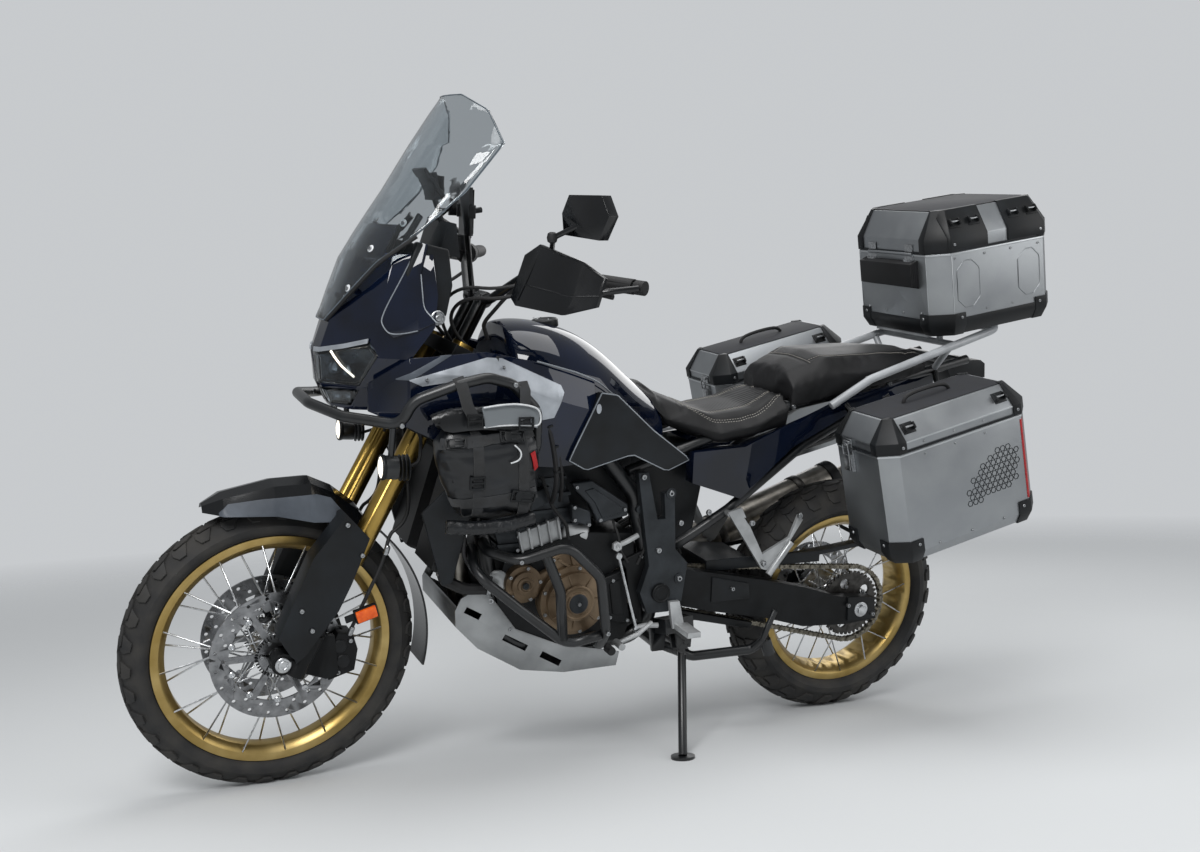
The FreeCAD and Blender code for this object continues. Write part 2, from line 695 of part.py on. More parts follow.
def frame():
    head = rod(on_axis(HEAD_LOW), on_axis(HEAD_HIGH), s.head_radius)
    left = frame_tubes
    right = [mirrored(piece) for piece in left]
    cross = [rod(Vec(x, -side, z), Vec(x, side, z), 14)
             for x, side, z in ((-300, 106, 1014), (240, 112, 905), (760, 130, 318))]
    made = joined([head] + left + right + cross + nose_frame())
    bore = rod(on_axis(HEAD_LOW - 5), on_axis(HEAD_HIGH + 5), s.stem_radius + s.axle_clearance)
    pivot = rod(PIVOT - LEFT * 200, PIVOT + LEFT * 200, 17)
    return made.cut([bore, pivot])


frame_shape = frame()

# Pivot plates: grey cast arms in a Y over the swingarm pivot
PIVOT_PLATE = ((708, 762), (680, 762), (650, 640), (628, 640), (634, 705), (606, 710), (596, 560),
               (560, 520), (572, 420), (610, 395), (668, 395), (690, 450), (668, 520))


def pivot_plate():
    plate = prism(PIVOT_PLATE, 158, 182)
    cap = rod(PIVOT + LEFT * 176, PIVOT + LEFT * 190, 22)
    bosses = [rod(Vec(x, 150.3, z), Vec(x, 165, z), 11) for x, z in ((636, 412), (690, 664))]
    bosses = [boss.cut(frame_tubes) for boss in bosses]
    bosses = [max(boss.Solids, key=lambda solid: solid.Volume) for boss in bosses]
    return joined([plate, cap] + bosses)


plate_left = pivot_plate()

# Engine: a plain block for the closed crankcase, with its open cylinders and covers

CRANKCASE = ((1040, 560), (1062, 470), (1040, 372), (960, 322), (720, 322), (690, 400), (700, 600),
             (840, 612))
CYLINDERS = ((830, 560), (1040, 560), (1120, 790), (905, 812))


def engine_case():
    block = prism(CRANKCASE, -150, 150)
    shaft = rod(SPROCKET, SPROCKET + LEFT * 160, 60)
    return block.cut([frame_shape, shaft.common(prism(CRANKCASE, s.chain_line - 22, 160))])


def cylinders():
    """Cylinder block and head with cooling ribs round them."""
    block = prism(CYLINDERS, -128, 128)
    ribs = []
    for step in range(5):
        rise = step * 0.16 + 0.1
        low = [(a + (d - a) * rise, b + (e - b) * rise)
               for (a, b), (d, e) in zip(CYLINDERS[:2], (CYLINDERS[3], CYLINDERS[2]))]
        (x1, z1), (x2, z2) = low
        ribs.append(prism(((x1 - 6, z1), (x2 + 6, z2), (x2 + 9, z2 + 9), (x1 - 3, z1 + 9)),
                          -136, 136))
    return joined([block] + ribs)


case_shape = engine_case()
cylinder_shape = cylinders().cut([case_shape, frame_shape])


def cover(points):
    """A stepped round cover: (middle x, z, radius, from side, to side) for each step."""
    steps = [rod(Vec(x, low, z), Vec(x, high, z), radius) for x, z, radius, low, high in points]
    return joined(steps)


left_cover = cover(((872, 452, 88, 150, 188), (872, 452, 74, 188, 204), (872, 452, 40, 204, 214),
                    (1000, 500, 46, 150, 178), (1000, 500, 34, 178, 190)))
right_cover = mirrored(cover(((850, 452, 112, 150, 190), (850, 452, 84, 190, 210),
                              (1000, 430, 44, 150, 180))))
case_shape = case_shape.cut(Part.makeCompound([plate_left, mirrored(plate_left)]))
covers = Part.makeCompound([left_cover.cut(frame_shape), right_cover.cut(frame_shape)])


def radiators():
    """A core on two stays, ahead of the down tube and behind the fork's sweep."""
    core = prism(((1236, 560), (1206, 552), (1136, 792), (1166, 800)), 40, 190)
    stays = [rod(Vec(1108, 66, 770), Vec(1150, 66, 774), 8),
             rod(Vec(1083, 113, 580), Vec(1212, 113, 580), 8)]
    return joined([core] + stays).cut(frame_shape)


radiator_left = radiators()


def exhaust():
    """Header pipes under the engine and the silencer up the right side."""
    headers = [tube([(1098, side, 720), (1140, side, 700), (1120, side * 0.9, 480),
                     (1098, side * 0.8, 380), (1010, side * 0.6, 304), (800, -40, 292)], 19, 60)
               for side in (55, -55)]
    collector = tube([(812, -40, 292), (724, -118, 280), (652, -176, 284), (560, -194, 310),
                      (490, -204, 352), (426, -216, 414)], 20, 40)
    can = rod(Vec(436, -216, 410), Vec(-150, -244, 610), 56)
    tip = rod(Vec(-150, -244, 610), Vec(-190, -246, 624), 24)
    hollow = rod(Vec(-130, -243, 603), Vec(-192, -246, 625), 20)
    return joined(headers + [collector, can, tip]).cut(hollow)


exhaust_shape = exhaust()
exhaust_shape = exhaust_shape.cut([case_shape, cylinder_shape, frame_shape, covers])

SKID_SIDE = ((1096, 499), (1150, 470), (1165, 440), (1163, 400), (1107, 340), (995, 272),
             (877, 252), (735, 254), (728, 290), (900, 330), (1010, 380))


def skid_plate():
    """The bash plate: sides and floor of sheet metal with cut slots."""
    outer = prism(SKID_SIDE, -152, 152)
    inner = prism(((1102, 520), (1160, 470), (1159, 404), (1104, 346), (994, 277), (877, 257),
                   (735, 259), (650, 259), (650, 520)), -148, 148)
    plate = outer.cut(inner)
    for x, z, length in ((1120, 430, 44), (1010, 344, 70), (915, 292, 60)):
        slot = Part.makeBox(length, 400, 16, Vec(-length / 2, -200, -8))
        slot.rotate(Vec(0, 0, 0), LEFT, -30)
        slot.translate(Vec(x, 0, z))
        plate = plate.cut(slot)
    return plate


skid = skid_plate().cut([frame_shape, exhaust_shape, case_shape, covers])

# Swingarm, shock and chain run

SWINGARM = ((668, 486), (600, 500), (470, 476), (300, 440), (180, 410), (60, 372), (-46, 362),
            (-58, 300), (40, 292), (180, 300), (300, 336), (470, 372), (620, 410), (664, 424))


def swingarm():
    left = prism(SWINGARM, 114, 150)
    cross = prism(((560, 486), (470, 470), (470, 376), (560, 396)), -150, 150)
    pivot = rod(PIVOT - LEFT * 150, PIVOT + LEFT * 150, 30)
    made = joined([left, mirrored(left), cross, pivot])
    made = made.cut(rod(PIVOT - LEFT * 200, PIVOT + LEFT * 200, 13))
    axle = rod(REAR_AXLE - LEFT * 166, REAR_AXLE + LEFT * 166, s.axle_radius)
    chain_room = prism(((560, 300), (560, 520), (720, 520), (720, 300)), s.chain_line - 22, 124)
    made = joined([made.cut(chain_room), axle])
    return made.cut(rod(REAR_AXLE - LEFT * 200, REAR_AXLE + LEFT * 200, s.axle_bore))


swingarm_shape = swingarm()


def chain():
    """The chain as one fixed loop round both sprockets."""
    low = s.chain_line - s.chain_width / 2
    radii = (s.rear_sprocket_radius, s.front_sprocket_radius)

    def loop(grow):
        far, near = REAR_AXLE, SPROCKET
        span = near - far
        slope = math.asin((radii[0] - radii[1]) / span.Length)
        bearing = math.atan2(span.z, span.x)
        pieces = []
        for centre, radius in ((far, radii[0]), (near, radii[1])):
            pieces.append(Part.makeCylinder(radius + grow, s.chain_width,
                                            Vec(centre.x, low, centre.z), LEFT))
        corners = []
        for sign, centre, radius in ((1, far, radii[0]), (1, near, radii[1]),
                                     (-1, near, radii[1]), (-1, far, radii[0])):
            turn = bearing + sign * (math.pi / 2 - slope)
            corners.append((centre.x + (radius + grow) * math.cos(turn),
                            centre.z + (radius + grow) * math.sin(turn)))
        pieces.append(prism(corners, low, low + s.chain_width))
        return joined(pieces)

    return loop(s.chain_half).cut(loop(-s.chain_half))


chain_shape = chain()
output = joined([
    rod(SPROCKET + LEFT * (s.chain_line - 4), SPROCKET + LEFT * (s.chain_line + 4),
        s.front_sprocket_radius - s.chain_half - 0.3),
    rod(SPROCKET + LEFT * 60, SPROCKET + LEFT * (s.chain_line + 8), 16)])
swingarm_shape = swingarm_shape.cut([frame_shape])
chain_room = prism(((800, 250), (800, 560), (-200, 560), (-200, 180)), s.chain_line - 14,
                   s.chain_line + 14)
case_shape = case_shape.cut([chain_room, swingarm_shape])
skid = skid.cut([chain_room, swingarm_shape])
swingarm_shape = swingarm_shape.cut(chain_room.cut(
    rod(REAR_AXLE - LEFT * 200, REAR_AXLE + LEFT * 200, s.axle_radius + 0.01)))
shaped("chain", chain_shape)

HUGGER = ((470, 500), (300, 482), (120, 500), (-60, 520), (-160, 470), (-150, 462), (-60, 508),
          (120, 488), (300, 470), (470, 488))


def rear_shock():
    body = rod(Vec(560, 0, 430), Vec(600, 0, 720), 26)
    along = Vec(40, 0, 290).normalize()
    coil = [Part.makeCylinder(42, 13, Vec(560, 0, 430) + along * (92 + 30 * n), along)
            for n in range(6)]
    upper = rod(Vec(600, -40, 720), Vec(600, 40, 720), 16)
    return joined([body, upper] + coil)


shock = rear_shock().cut([swingarm_shape, frame_shape])

hugger = joined([
    prism(HUGGER, -86, s.chain_line + s.chain_width),
    prism(((470, 500), (120, 500), (120, 470), (470, 470)), 112, 118)])
hugger = hugger.cut([shock, frame_shape, swingarm_shape, chain_shape,
                     rod(REAR_AXLE - LEFT * 100, REAR_AXLE + LEFT * 100, s.rear_tyre_radius + 12)
                     .common(prism(((-500, 0), (-500, 900), (600, 900), (600, 0)), -84, 84))])
hugger = max(hugger.Solids, key=lambda solid: solid.Volume)

# Tank, seats and panels

TANK = (
    (1034, ((0, 1124), (86, 1116), (150, 1066), (176, 980), (126, 900), (0, 900))),
    (960, ((0, 1130), (110, 1122), (196, 1056), (214, 960), (170, 870), (0, 870))),
    (820, ((0, 1104), (110, 1090), (200, 1016), (222, 930), (190, 850), (0, 850))),
    (700, ((0, 994), (86, 980), (150, 930), (172, 870), (150, 812), (0, 812))),
    (604, ((0, 926), (60, 914), (96, 880), (112, 840), (100, 800), (0, 800))),
)


def middle_out(rows):
    """Closed outlines from half outlines that begin and end on the centre plane."""
    sections = []
    for x, half in rows:
        left = [Vec(x, y, z) for y, z in half]
        right = [Vec(x, -y, z) for y, z in reversed(half[1:-1])]
        sections.append(left + right)
    return sections


tank = loft(middle_out(TANK)).cut([frame_shape, cylinder_shape, shock])
tank = max(tank.Solids, key=lambda solid: solid.Volume)

RIDER_SEAT = (
    (688, ((0, 1000), (50, 990), (80, 960), (76, 946), (0, 962))),
    (600, ((0, 940), (74, 926), (118, 880), (104, 862), (0, 900))),
    (470, ((0, 892), (110, 886), (168, 846), (150, 812), (0, 812))),
    (360, ((0, 906), (120, 902), (176, 868), (160, 834), (0, 834))),
    (262, ((0, 950), (110, 946), (158, 916), (150, 862), (0, 862))),
)
PILLION_SEAT = (
    (258, ((0, 990), (100, 984), (140, 950), (136, 890), (0, 890))),
    (150, ((0, 1040), (118, 1032), (160, 990), (150, 916), (0, 916))),
    (-30, ((0, 1048), (124, 1040), (164, 1000), (152, 952), (0, 952))),
    (-190, ((0, 1046), (104, 1038), (136, 1010), (126, 984), (0, 984))),
)

seat_rider = loft(middle_out(RIDER_SEAT)).cut([frame_shape, tank])
seat_pillion = loft(middle_out(PILLION_SEAT)).cut([frame_shape, seat_rider])
seat_rider = max(seat_rider.Solids, key=lambda solid: solid.Volume)
seat_pillion = max(seat_pillion.Solids, key=lambda solid: solid.Volume)

KNEE_PANEL = ((839, 975), (799, 969), (700, 880), (597, 804), (659, 778), (753, 824), (873, 791),
              (917, 816))
knee = prism(KNEE_PANEL, 176, 240)
knee = knee.cut(prism(((1000, 700), (1000, 1100), (500, 1100), (500, 700)), 0, 150))
knee = knee.cut([tank, frame_shape])
knee = max(knee.Solids, key=lambda solid: solid.Volume)

# Side cowls: x, then (side, height) round a thin wall from its foot to its top
SIDE_COWL = (
    (1384, ((178, 940), (186, 940), (180, 1002), (172, 1002))),
    (1300, ((226, 906), (234, 906), (232, 1030), (222, 1062), (214, 1062), (224, 1028))),
    (1124, ((238, 820), (246, 820), (248, 1020), (226, 1076), (218, 1072), (240, 1016))),
    (950, ((226, 800), (234, 800), (240, 960), (214, 1040), (206, 1036), (232, 956))),
    (846, ((214, 806), (222, 806), (230, 930), (206, 1000), (198, 996), (222, 928))),
)


def side_cowl():
    rows = [[Vec(x, y, z) for y, z in points] for x, points in SIDE_COWL[1:]]
    first = SIDE_COWL[0]
    low_out, low_in, top_in, top_out = [Vec(first[0], y, z) for y, z in first[1]]
    nose = [low_out, low_in, top_in + Vec(0, 0, -20), top_in, top_out, top_out + Vec(0, 0, -20)]
    return loft([nose] + rows)


cowl_left = side_cowl().cut([tank, frame_shape, radiator_left, knee])
cowl_left = max(cowl_left.Solids, key=lambda solid: solid.Volume)

# Front cowl: height, then half the plan outline as (x, side)
FRONT_COWL = (
    (930, ((1440, 0), (1438, 40), (1400, 96), (1340, 120), (1300, 0))),
    (985, ((1468, 0), (1464, 46), (1398, 128), (1320, 160), (1290, 0))),
    (1056, ((1478, 0), (1470, 50), (1372, 150), (1290, 196), (1270, 0))),
    (1130, ((1452, 0), (1446, 56), (1352, 152), (1240, 214), (1240, 0))),
    (1200, ((1426, 0), (1420, 60), (1338, 150), (1230, 200), (1230, 0))),
    (1290, ((1388, 0), (1380, 60), (1318, 136), (1236, 176), (1236, 0))),
)


def plan_sections(rows, inset):
    """Closed plan outlines, drawn in by a wall's thickness except at the open rear."""
    sections = []
    for z, half in rows:
        front = [(x - inset * 1.3, max(y - inset, 0)) for x, y in half[:-1]]
        left = [Vec(x, y, z) for x, y in front]
        right = [Vec(x, -y, z) for x, y in reversed(front[1:])]
        sections.append(left + right)
    return sections


def front_cowl():
    outer = loft(plan_sections(FRONT_COWL, 0))
    inner = loft(plan_sections(FRONT_COWL, 6))
    return outer, outer.cut(inner)


cowl_solid, front_cowl_shape = front_cowl()
HEADLIGHT = ((1486, 1058), (1372, 1092), (1356, 1060), (1392, 990), (1486, 985))
LOWER_LAMP = ((1486, 976), (1392, 980), (1404, 940), (1486, 935))


def lamp_window(outline):
    return prism(outline, 14, 170)


lamp_zones = Part.makeCompound([lamp_window(HEADLIGHT), lamp_window(LOWER_LAMP)])
lamps_left = Part.makeCompound([
    front_cowl_shape.common(lamp_window(HEADLIGHT)), front_cowl_shape.common(lamp_window(LOWER_LAMP))])
front_cowl_shape = front_cowl_shape.cut([lamp_zones, mirrored(lamp_zones)])
front_cowl_shape = front_cowl_shape.cut([cowl_left, mirrored(cowl_left)])
front_cowl_shape = max(front_cowl_shape.Solids, key=lambda solid: solid.Volume)

# Windscreen: height, spine x, edge x, half width
SCREEN = (
    (1132, 1462, 1456, 46),
    (1200, 1437, 1412, 104),
    (1270, 1410, 1360, 150),
    (1330, 1374, 1282, 181),
    (1380, 1342, 1224, 184),
    (1430, 1308, 1172, 197),
    (1540, 1240, 1092, 224),
    (1615, 1192, 1110, 160),
    (1650, 1168, 1148, 84),
)


def screen_section(height, spine, edge, half):
    wall = s.screen_wall
    outer = Part.Arc(Vec(edge, half, height), Vec(spine, 0, height), Vec(edge, -half, height))
    inner = Part.Arc(Vec(edge - wall, -half + 1, height), Vec(spine - wall, 0, height),
                     Vec(edge - wall, half - 1, height))
    ends = [Part.LineSegment(Vec(edge, -half, height), Vec(edge - wall, -half + 1, height)),
            Part.LineSegment(Vec(edge - wall, half - 1, height), Vec(edge, half, height))]
    return Part.Wire([outer.toShape(), ends[0].toShape(), inner.toShape(), ends[1].toShape()])


screen = Part.makeLoft([screen_section(*row) for row in SCREEN], True, True)
screen_bosses = [rod(Vec(x, side * y, z), Vec(x + 28, side * y, z), 7)
                 for x, y, z in ((1402, 60, 1190), (1352, 110, 1270)) for side in (1, -1)]
front_cowl_shape = joined([front_cowl_shape] + screen_bosses).cut([screen, frame_shape])
front_cowl_shape = max(front_cowl_shape.Solids, key=lambda solid: solid.Volume)

dash = prism(((1200, 1290), (1178, 1362), (1160, 1358), (1150, 1280)), -98, 98)
dash_arm = prism(((1236, 1210), (1250, 1220), (1196, 1300), (1178, 1296)), -26, 26)
device = prism(((1186, 1414), (1200, 1410), (1214, 1470), (1200, 1474)), -36, 66)
device_post = rod(Vec(1166, 16, 1340), Vec(1196, 16, 1430), 7)
dash = joined([dash, dash_arm, device, device_post]).cut([screen, front_cowl_shape, frame_shape])

TAIL = (
    (540, ((110, 800), (150, 800), (150, 720), (110, 720))),
    (400, ((120, 812), (166, 812), (156, 672), (120, 672))),
    (250, ((116, 858), (160, 874), (150, 800), (116, 790))),
    (40, ((108, 930), (146, 956), (140, 900), (108, 900))),
    (-220, ((80, 984), (112, 1000), (108, 950), (80, 950))),
)
tail_left = loft([[Vec(x, y, z) for y, z in points] for x, points in TAIL])
tail_left = tail_left.cut([frame_shape, seat_rider, seat_pillion])
tail_left = max(tail_left.Solids, key=lambda solid: solid.Volume)

plate_holder = joined([
    prism(((-290, 1012), (-420, 1010), (-436, 1000), (-440, 960), (-330, 940)), -60, 60),
    prism(((-400, 960), (-440, 960), (-560, 720), (-548, 714)), -24, 24),
    prism(((-536, 790), (-546, 786), (-596, 640), (-588, 636)), -90, 90)])
plate_holder = plate_holder.cut(frame_shape)

# Luggage: each case is drawn level about the middle of its floor, then tilted and moved


def case_outline(length, width, chamfer, inset=0.0):
    half = length / 2 - inset
    wide = width / 2 - inset
    cut = max(chamfer - inset * 0.6, 1)
    return [(half, wide - cut), (half - cut, wide), (-half + cut, wide), (-half, wide - cut),
            (-half, -wide + cut), (-half + cut, -wide), (half - cut, -wide), (half, -wide + cut)]


def flat_loft(rows):
    """A solid through level outlines: (height, outline of (x, side)) from below."""
    return loft([[Vec(x, y, z) for x, y in outline] for z, outline in rows])


def case_body(length, width, height, chamfer):
    """An open tub with chamfered upright corners and a drawn-in floor edge."""
    wall = s.case_wall
    full = case_outline(length, width, chamfer)
    foot = case_outline(length, width, chamfer, 14)
    outer = flat_loft(((0, foot), (26, full), (height, full)))
    inner_full = case_outline(length, width, chamfer, wall)
    inner_foot = case_outline(length, width, chamfer, 14 + wall)
    inner = flat_loft(((wall, inner_foot), (26, inner_full), (height, inner_full)))
    return outer.cut(inner)


def case_lid(length, width, height, lid, chamfer):
    """A hollow lid with slanted sides, seated on the tub's rim."""
    wall = s.case_wall
    seat = height + s.lid_seat
    full = case_outline(length, width, chamfer)
    top = case_outline(length, width, chamfer, 40)
    rim = lid * 0.36
    outer = flat_loft(((seat, full), (seat + rim, full), (height + lid, top)))
    inner_full = case_outline(length, width, chamfer, wall)
    inner_top = case_outline(length, width, chamfer, 40 + wall)
    inner = flat_loft(((seat, inner_full), (seat + rim, inner_full),
                       (height + lid - wall, inner_top)))
    return outer.cut(inner)


def case_place(ahead, side, floor, tilt):
    return FreeCAD.Placement(Vec(ahead, side, floor), FreeCAD.Rotation(LEFT, tilt))


PANNIER_SIDE = s.pannier_inner + s.pannier_width / 2
LEFT_CASE = case_place(s.pannier_ahead, PANNIER_SIDE, s.pannier_floor, s.pannier_tilt)
RIGHT_SIDE = s.right_pannier_inner + s.pannier_width / 2
RIGHT_CASE = case_place(s.right_pannier_ahead, -RIGHT_SIDE, s.right_pannier_floor, s.pannier_tilt)
TOP_CASE = case_place(s.topbox_ahead, 0, s.topbox_floor, s.topbox_tilt)
PANNIER = (s.pannier_length, s.pannier_width, s.pannier_height, s.pannier_chamfer)
TOPBOX = (s.topbox_length, s.topbox_width, s.topbox_height, s.topbox_chamfer)

for prefix, place, box, lid in (("left_pannier", LEFT_CASE, PANNIER, s.pannier_lid_height),
                                ("right_pannier", RIGHT_CASE, PANNIER, s.pannier_lid_height),
                                ("top_case", TOP_CASE, TOPBOX, s.topbox_lid_height)):
    length, width, height, chamfer = box
    body = case_body(*box)
    cover_shape = case_lid(length, width, height, lid, chamfer)
    hinge_end = 1 if prefix == "top_case" else -1
    hinge_x = hinge_end * (length / 2 + 5)
    knuckle = Part.makeCylinder(4, width * 0.5, Vec(hinge_x, -width * 0.25, height), LEFT)
    leaf_low = Part.makeBox(4, width * 0.5, 24, Vec(0, -width * 0.25, height - 24))
    leaf_low.translate(Vec(hinge_end * (length / 2 + 2) - 2, 0, 0))
    body = joined([body, leaf_low, knuckle]).cut(cover_shape)
    if prefix == "top_case":
        body_solid = body
    shaped(prefix + "_body", body, PARKED * place)
    shaped(prefix + "_lid", cover_shape, PARKED * place)

backrest = prism(((0, -74), (26, -66), (26, -4), (0, 4)), -118, 118)
backrest.translate(Vec(s.topbox_length / 2 + s.seat_gap, 0, s.topbox_height - 20))
backrest = backrest.cut(body_solid)
shaped("backrest_pad", max(backrest.Solids, key=lambda solid: solid.Volume), PARKED * TOP_CASE)


def on_case(place, x, y, z):
    return place.multVec(Vec(x, y, z))


def case_rack(place, side):
    """A hoop of tube behind one pannier, with two stays to the frame."""
    inner = -side * (s.pannier_width / 2 + 9)
    corners = [(170, 60), (190, 200), (120, 262), (-150, 262), (-196, 200), (-170, 60), (-120, 30),
               (120, 30), (170, 60)]
    points = [on_case(place, x, inner, z) for x, z in corners]
    hoop = tube([tuple(p) for p in points[:-1]] + [tuple(points[-1] + Vec(0.1, 0, 0))], 8, 30)
    top = [on_case(place, x, inner, 262) for x in (100, -140)]
    stays = [rod(top[0], Vec(90, side * 112, 930), 8), rod(top[1], Vec(-220, side * 108, 996), 8)]
    return joined([hoop] + stays)


rack_left = case_rack(LEFT_CASE, 1)
rack_right = case_rack(RIGHT_CASE, -1)
rear_rack_left = tube([(150, 168, 912), (36, 176, 982), (-214, 170, 1062), (-380, 150, 1108),
                       (-430, 90, 1121), (-430, 0, 1121)], 11, 50)
rack_plate = prism(((186, -10), (-186, -10), (-186, -s.seat_gap), (186, -s.seat_gap)), -118, 118)
for x in (-120, 0, 120):
    for side in (-66, 66):
        rack_plate = rack_plate.cut(Part.makeBox(76, 44, 20, Vec(x - 38, side - 22, -16)))
rack_plate.Placement = TOP_CASE
rack_cross = [rod(Vec(x, -side, z), Vec(x, side, z), 9)
              for x, side, z in ((-240, 168, 1069), (-392, 140, 1110))]
rack_posts = [rod(Vec(x, side * 96, z), Vec(x, side * 96, z + 34), 9)
              for x, z in ((-240, 1069), (-392, 1110)) for side in (1, -1)]
rack_legs = [rod(Vec(x, side * 174, high), Vec(x, side * 112, low), 9)
             for x, high, low in ((36, 982, 943), (-214, 1062, 994)) for side in (1, -1)]
rack_top = Part.makeBox(500, 300, 60, Vec(-250, -150, -s.seat_gap))
rack_top.Placement = TOP_CASE
rear_rack = joined([rear_rack_left, mirrored(rear_rack_left), rack_plate] + rack_legs + rack_cross
                   + rack_posts).cut(rack_top)
case_placed = body_solid.copy()
case_placed.Placement = TOP_CASE
rear_rack = rear_rack.cut([case_placed, frame_shape, tail_left, mirrored(tail_left), plate_holder])
rack_left = rack_left.cut([frame_shape, tail_left, rear_rack])
rack_right = rack_right.cut([frame_shape, mirrored(tail_left), rear_rack, exhaust_shape])
pannier_racks = Part.makeCompound([max(rack.Solids, key=lambda solid: solid.Volume)
                                   for rack in (rack_left, rack_right)])

# Crash bars

UPPER_BARS = (
    ((1497, 0, 946), (1497, 80, 946), (1440, 180, 930), (1331, 272, 923), (1305, 278, 976),
     (1214, 300, 1013), (1144, 306, 1029), (1083, 304, 1012), (1021, 292, 949), (1010, 262, 860),
     (1040, 200, 720), (1090, 120, 640)),
)
LOWER_BARS = (
    ((1090, 128, 600), (1110, 220, 604), (1053, 290, 596), (936, 300, 626), (849, 296, 540),
     (828, 290, 400), (822, 240, 350), (792, 142, 322)),
    ((1120, 128, 590), (1149, 250, 563), (1040, 262, 470), (916, 262, 368), (838, 284, 392)),
    ((990, 292, 608), (945, 280, 510), (930, 266, 384)),
)


def crash_bars():
    pieces = [tube(points, s.guard_bar_radius, 55) for points in UPPER_BARS + LOWER_BARS]
    return joined(pieces)


bars_left = crash_bars()
neighbours = [frame_shape, case_shape, covers, skid, cylinder_shape, radiator_left, cowl_left,
              front_cowl_shape]
bars_all = joined([bars_left, mirrored(bars_left)])
bars_all = bars_all.cut(neighbours + [mirrored(radiator_left), mirrored(cowl_left), exhaust_shape])

BAG = (
    (700, ((1206, 250), (1206, 318), (1032, 318), (1032, 250))),
    (760, ((1226, 236), (1226, 336), (1022, 338), (1022, 236))),
    (880, ((1262, 234), (1262, 334), (1022, 336), (1022, 234))),
    (930, ((1240, 262), (1240, 312), (1036, 312), (1036, 262))),
)
bag_left = loft([[Vec(x, y, z) for x, y in outline] for z, outline in BAG])
bag_left = bag_left.cut([bars_all, cowl_left, radiator_left])
bag_left = max(bag_left.Solids, key=lambda solid: solid.Volume)

# Pegs, pedals and small lamps


def rider_controls():
    pegs = []
    for side in (1, -1):
        pegs.append(Part.makeBox(36, 78, 14, Vec(560, 196 if side > 0 else -274, 352)))
        mount = prism(((584, 424), (612, 424), (600, 352), (566, 352)), 182, 196)
        pegs.append(joined([mount if side > 0 else mirrored(mount),
                            rod(Vec(590, side * 180, 408), Vec(590, side * 190, 408), 8)]))
    shift = tube([(656, 186, 372), (700, 200, 350), (760, 210, 336)], 6, 20)
    toe = rod(Vec(760, 200, 336), Vec(760, 240, 336), 9)
    brake = tube([(640, -186, 380), (690, -214, 350), (752, -214, 334)], 6, 20)
    pad = Part.makeBox(40, 36, 8, Vec(735, -236, 336))
    return pegs, joined([shift, toe]), joined([brake, pad])


pegs, shift_pedal, brake_pedal = rider_controls()
pillion_brackets = [prism(((440, 640), (400, 650), (330, 520), (250, 560), (226, 619), (212, 606),
                           (300, 470), (330, 480)), 156, 166).cut(
                               prism(((392, 624), (270, 600), (318, 528)), 150, 170)),
                    rod(Vec(248, 172, 549), Vec(312, 172, 465), 9)]
bracket_left = joined(pillion_brackets)
bracket_ties = [rod(Vec(430, 128, 634), Vec(430, 160, 634), 8)]
bracket_left = joined([bracket_left] + bracket_ties).cut(frame_tubes + [plate_left])
bracket_right = mirrored(bracket_left).cut(exhaust_shape)
foot_pieces = Part.makeCompound(
    [joined(pegs[:2]).cut(plate_left), joined(pegs[2:]).cut(mirrored(plate_left)),
     shift_pedal.cut(plate_left), brake_pedal.cut([mirrored(plate_left), covers]),
     bracket_left, bracket_right])


def aux_lamp(side):
    lamp = rod(Vec(1366, side * 236, 822), Vec(1330, side * 236, 820), 27)
    arm = rod(Vec(1344, side * 236, 846), Vec(1345, side * 262, 922), 7)
    return joined([lamp, arm]).cut(bars_all)


aux_lamps = Part.makeCompound([aux_lamp(1), aux_lamp(-1)])

# Stands

STAND_TOP = Vec(s.stand_ahead, s.stand_side, s.stand_height)
STAND_AXIS = Vec(-0.2, 1, 0.212).normalize()
stand_place = FreeCAD.Placement(STAND_TOP, FreeCAD.Rotation(LEFT, STAND_AXIS))
FOOT_GROUND = Vec(s.stand_foot_ahead - s.origin_ahead, s.stand_foot_left - s.origin_left, 0)
to_bike = PARKED.inverse()
ground_up = to_bike.Rotation.multVec(Vec(0, 0, 1))
foot_low = to_bike.multVec(FOOT_GROUND)


def about_stand_pin(shape):
    """Moves what was drawn about a level pin onto the stand's own slanted one."""
    shape = shape.copy()
    shape.Placement = stand_place
    return shape


def side_stand():
    """Eye, leg and a foot that lies flat on the ground."""
    foot_top = foot_low + ground_up * s.foot_wall
    leg = rod(STAND_TOP, foot_top, 11)
    foot = Part.makeCylinder(s.foot_radius, s.foot_wall, foot_low, ground_up)
    eye = about_stand_pin(rod(Vec(0, -8, 0), Vec(0, 8, 0), 18))
    slot = [about_stand_pin(rod(Vec(0, side * 8, 0), Vec(0, side * 26, 0), 30))
            for side in (1, -1)]
    leg = leg.cut(slot)
    leg = max(leg.Solids, key=lambda solid: solid.Volume)
    made = joined([leg, foot, eye])
    below = Part.makeCylinder(90, 60, foot_low - ground_up * 60, ground_up)
    pin = about_stand_pin(rod(Vec(0, -40, 0), Vec(0, 40, 0), 6 + s.pin_clearance))
    return made.cut([below, pin])


stand_shape = side_stand()
ear = ((-26, 34), (30, 34), (24, -14), (-16, -14))
stand_bracket = joined([
    about_stand_pin(prism(ear, -16, -9)), about_stand_pin(prism(ear, 9, 16)),
    about_stand_pin(prism(((-30, 66), (60, 66), (60, 28), (-30, 28)), -40, 16)),
    about_stand_pin(rod(Vec(0, -18, 0), Vec(0, 18, 0), 6))])
stand_bracket = stand_bracket.cut([swingarm_shape, case_shape, frame_shape, plate_left, skid])
stand_bracket = max(stand_bracket.Solids, key=lambda solid: solid.Volume)

CENTRE_PIVOT = Vec(610, 0, 290)


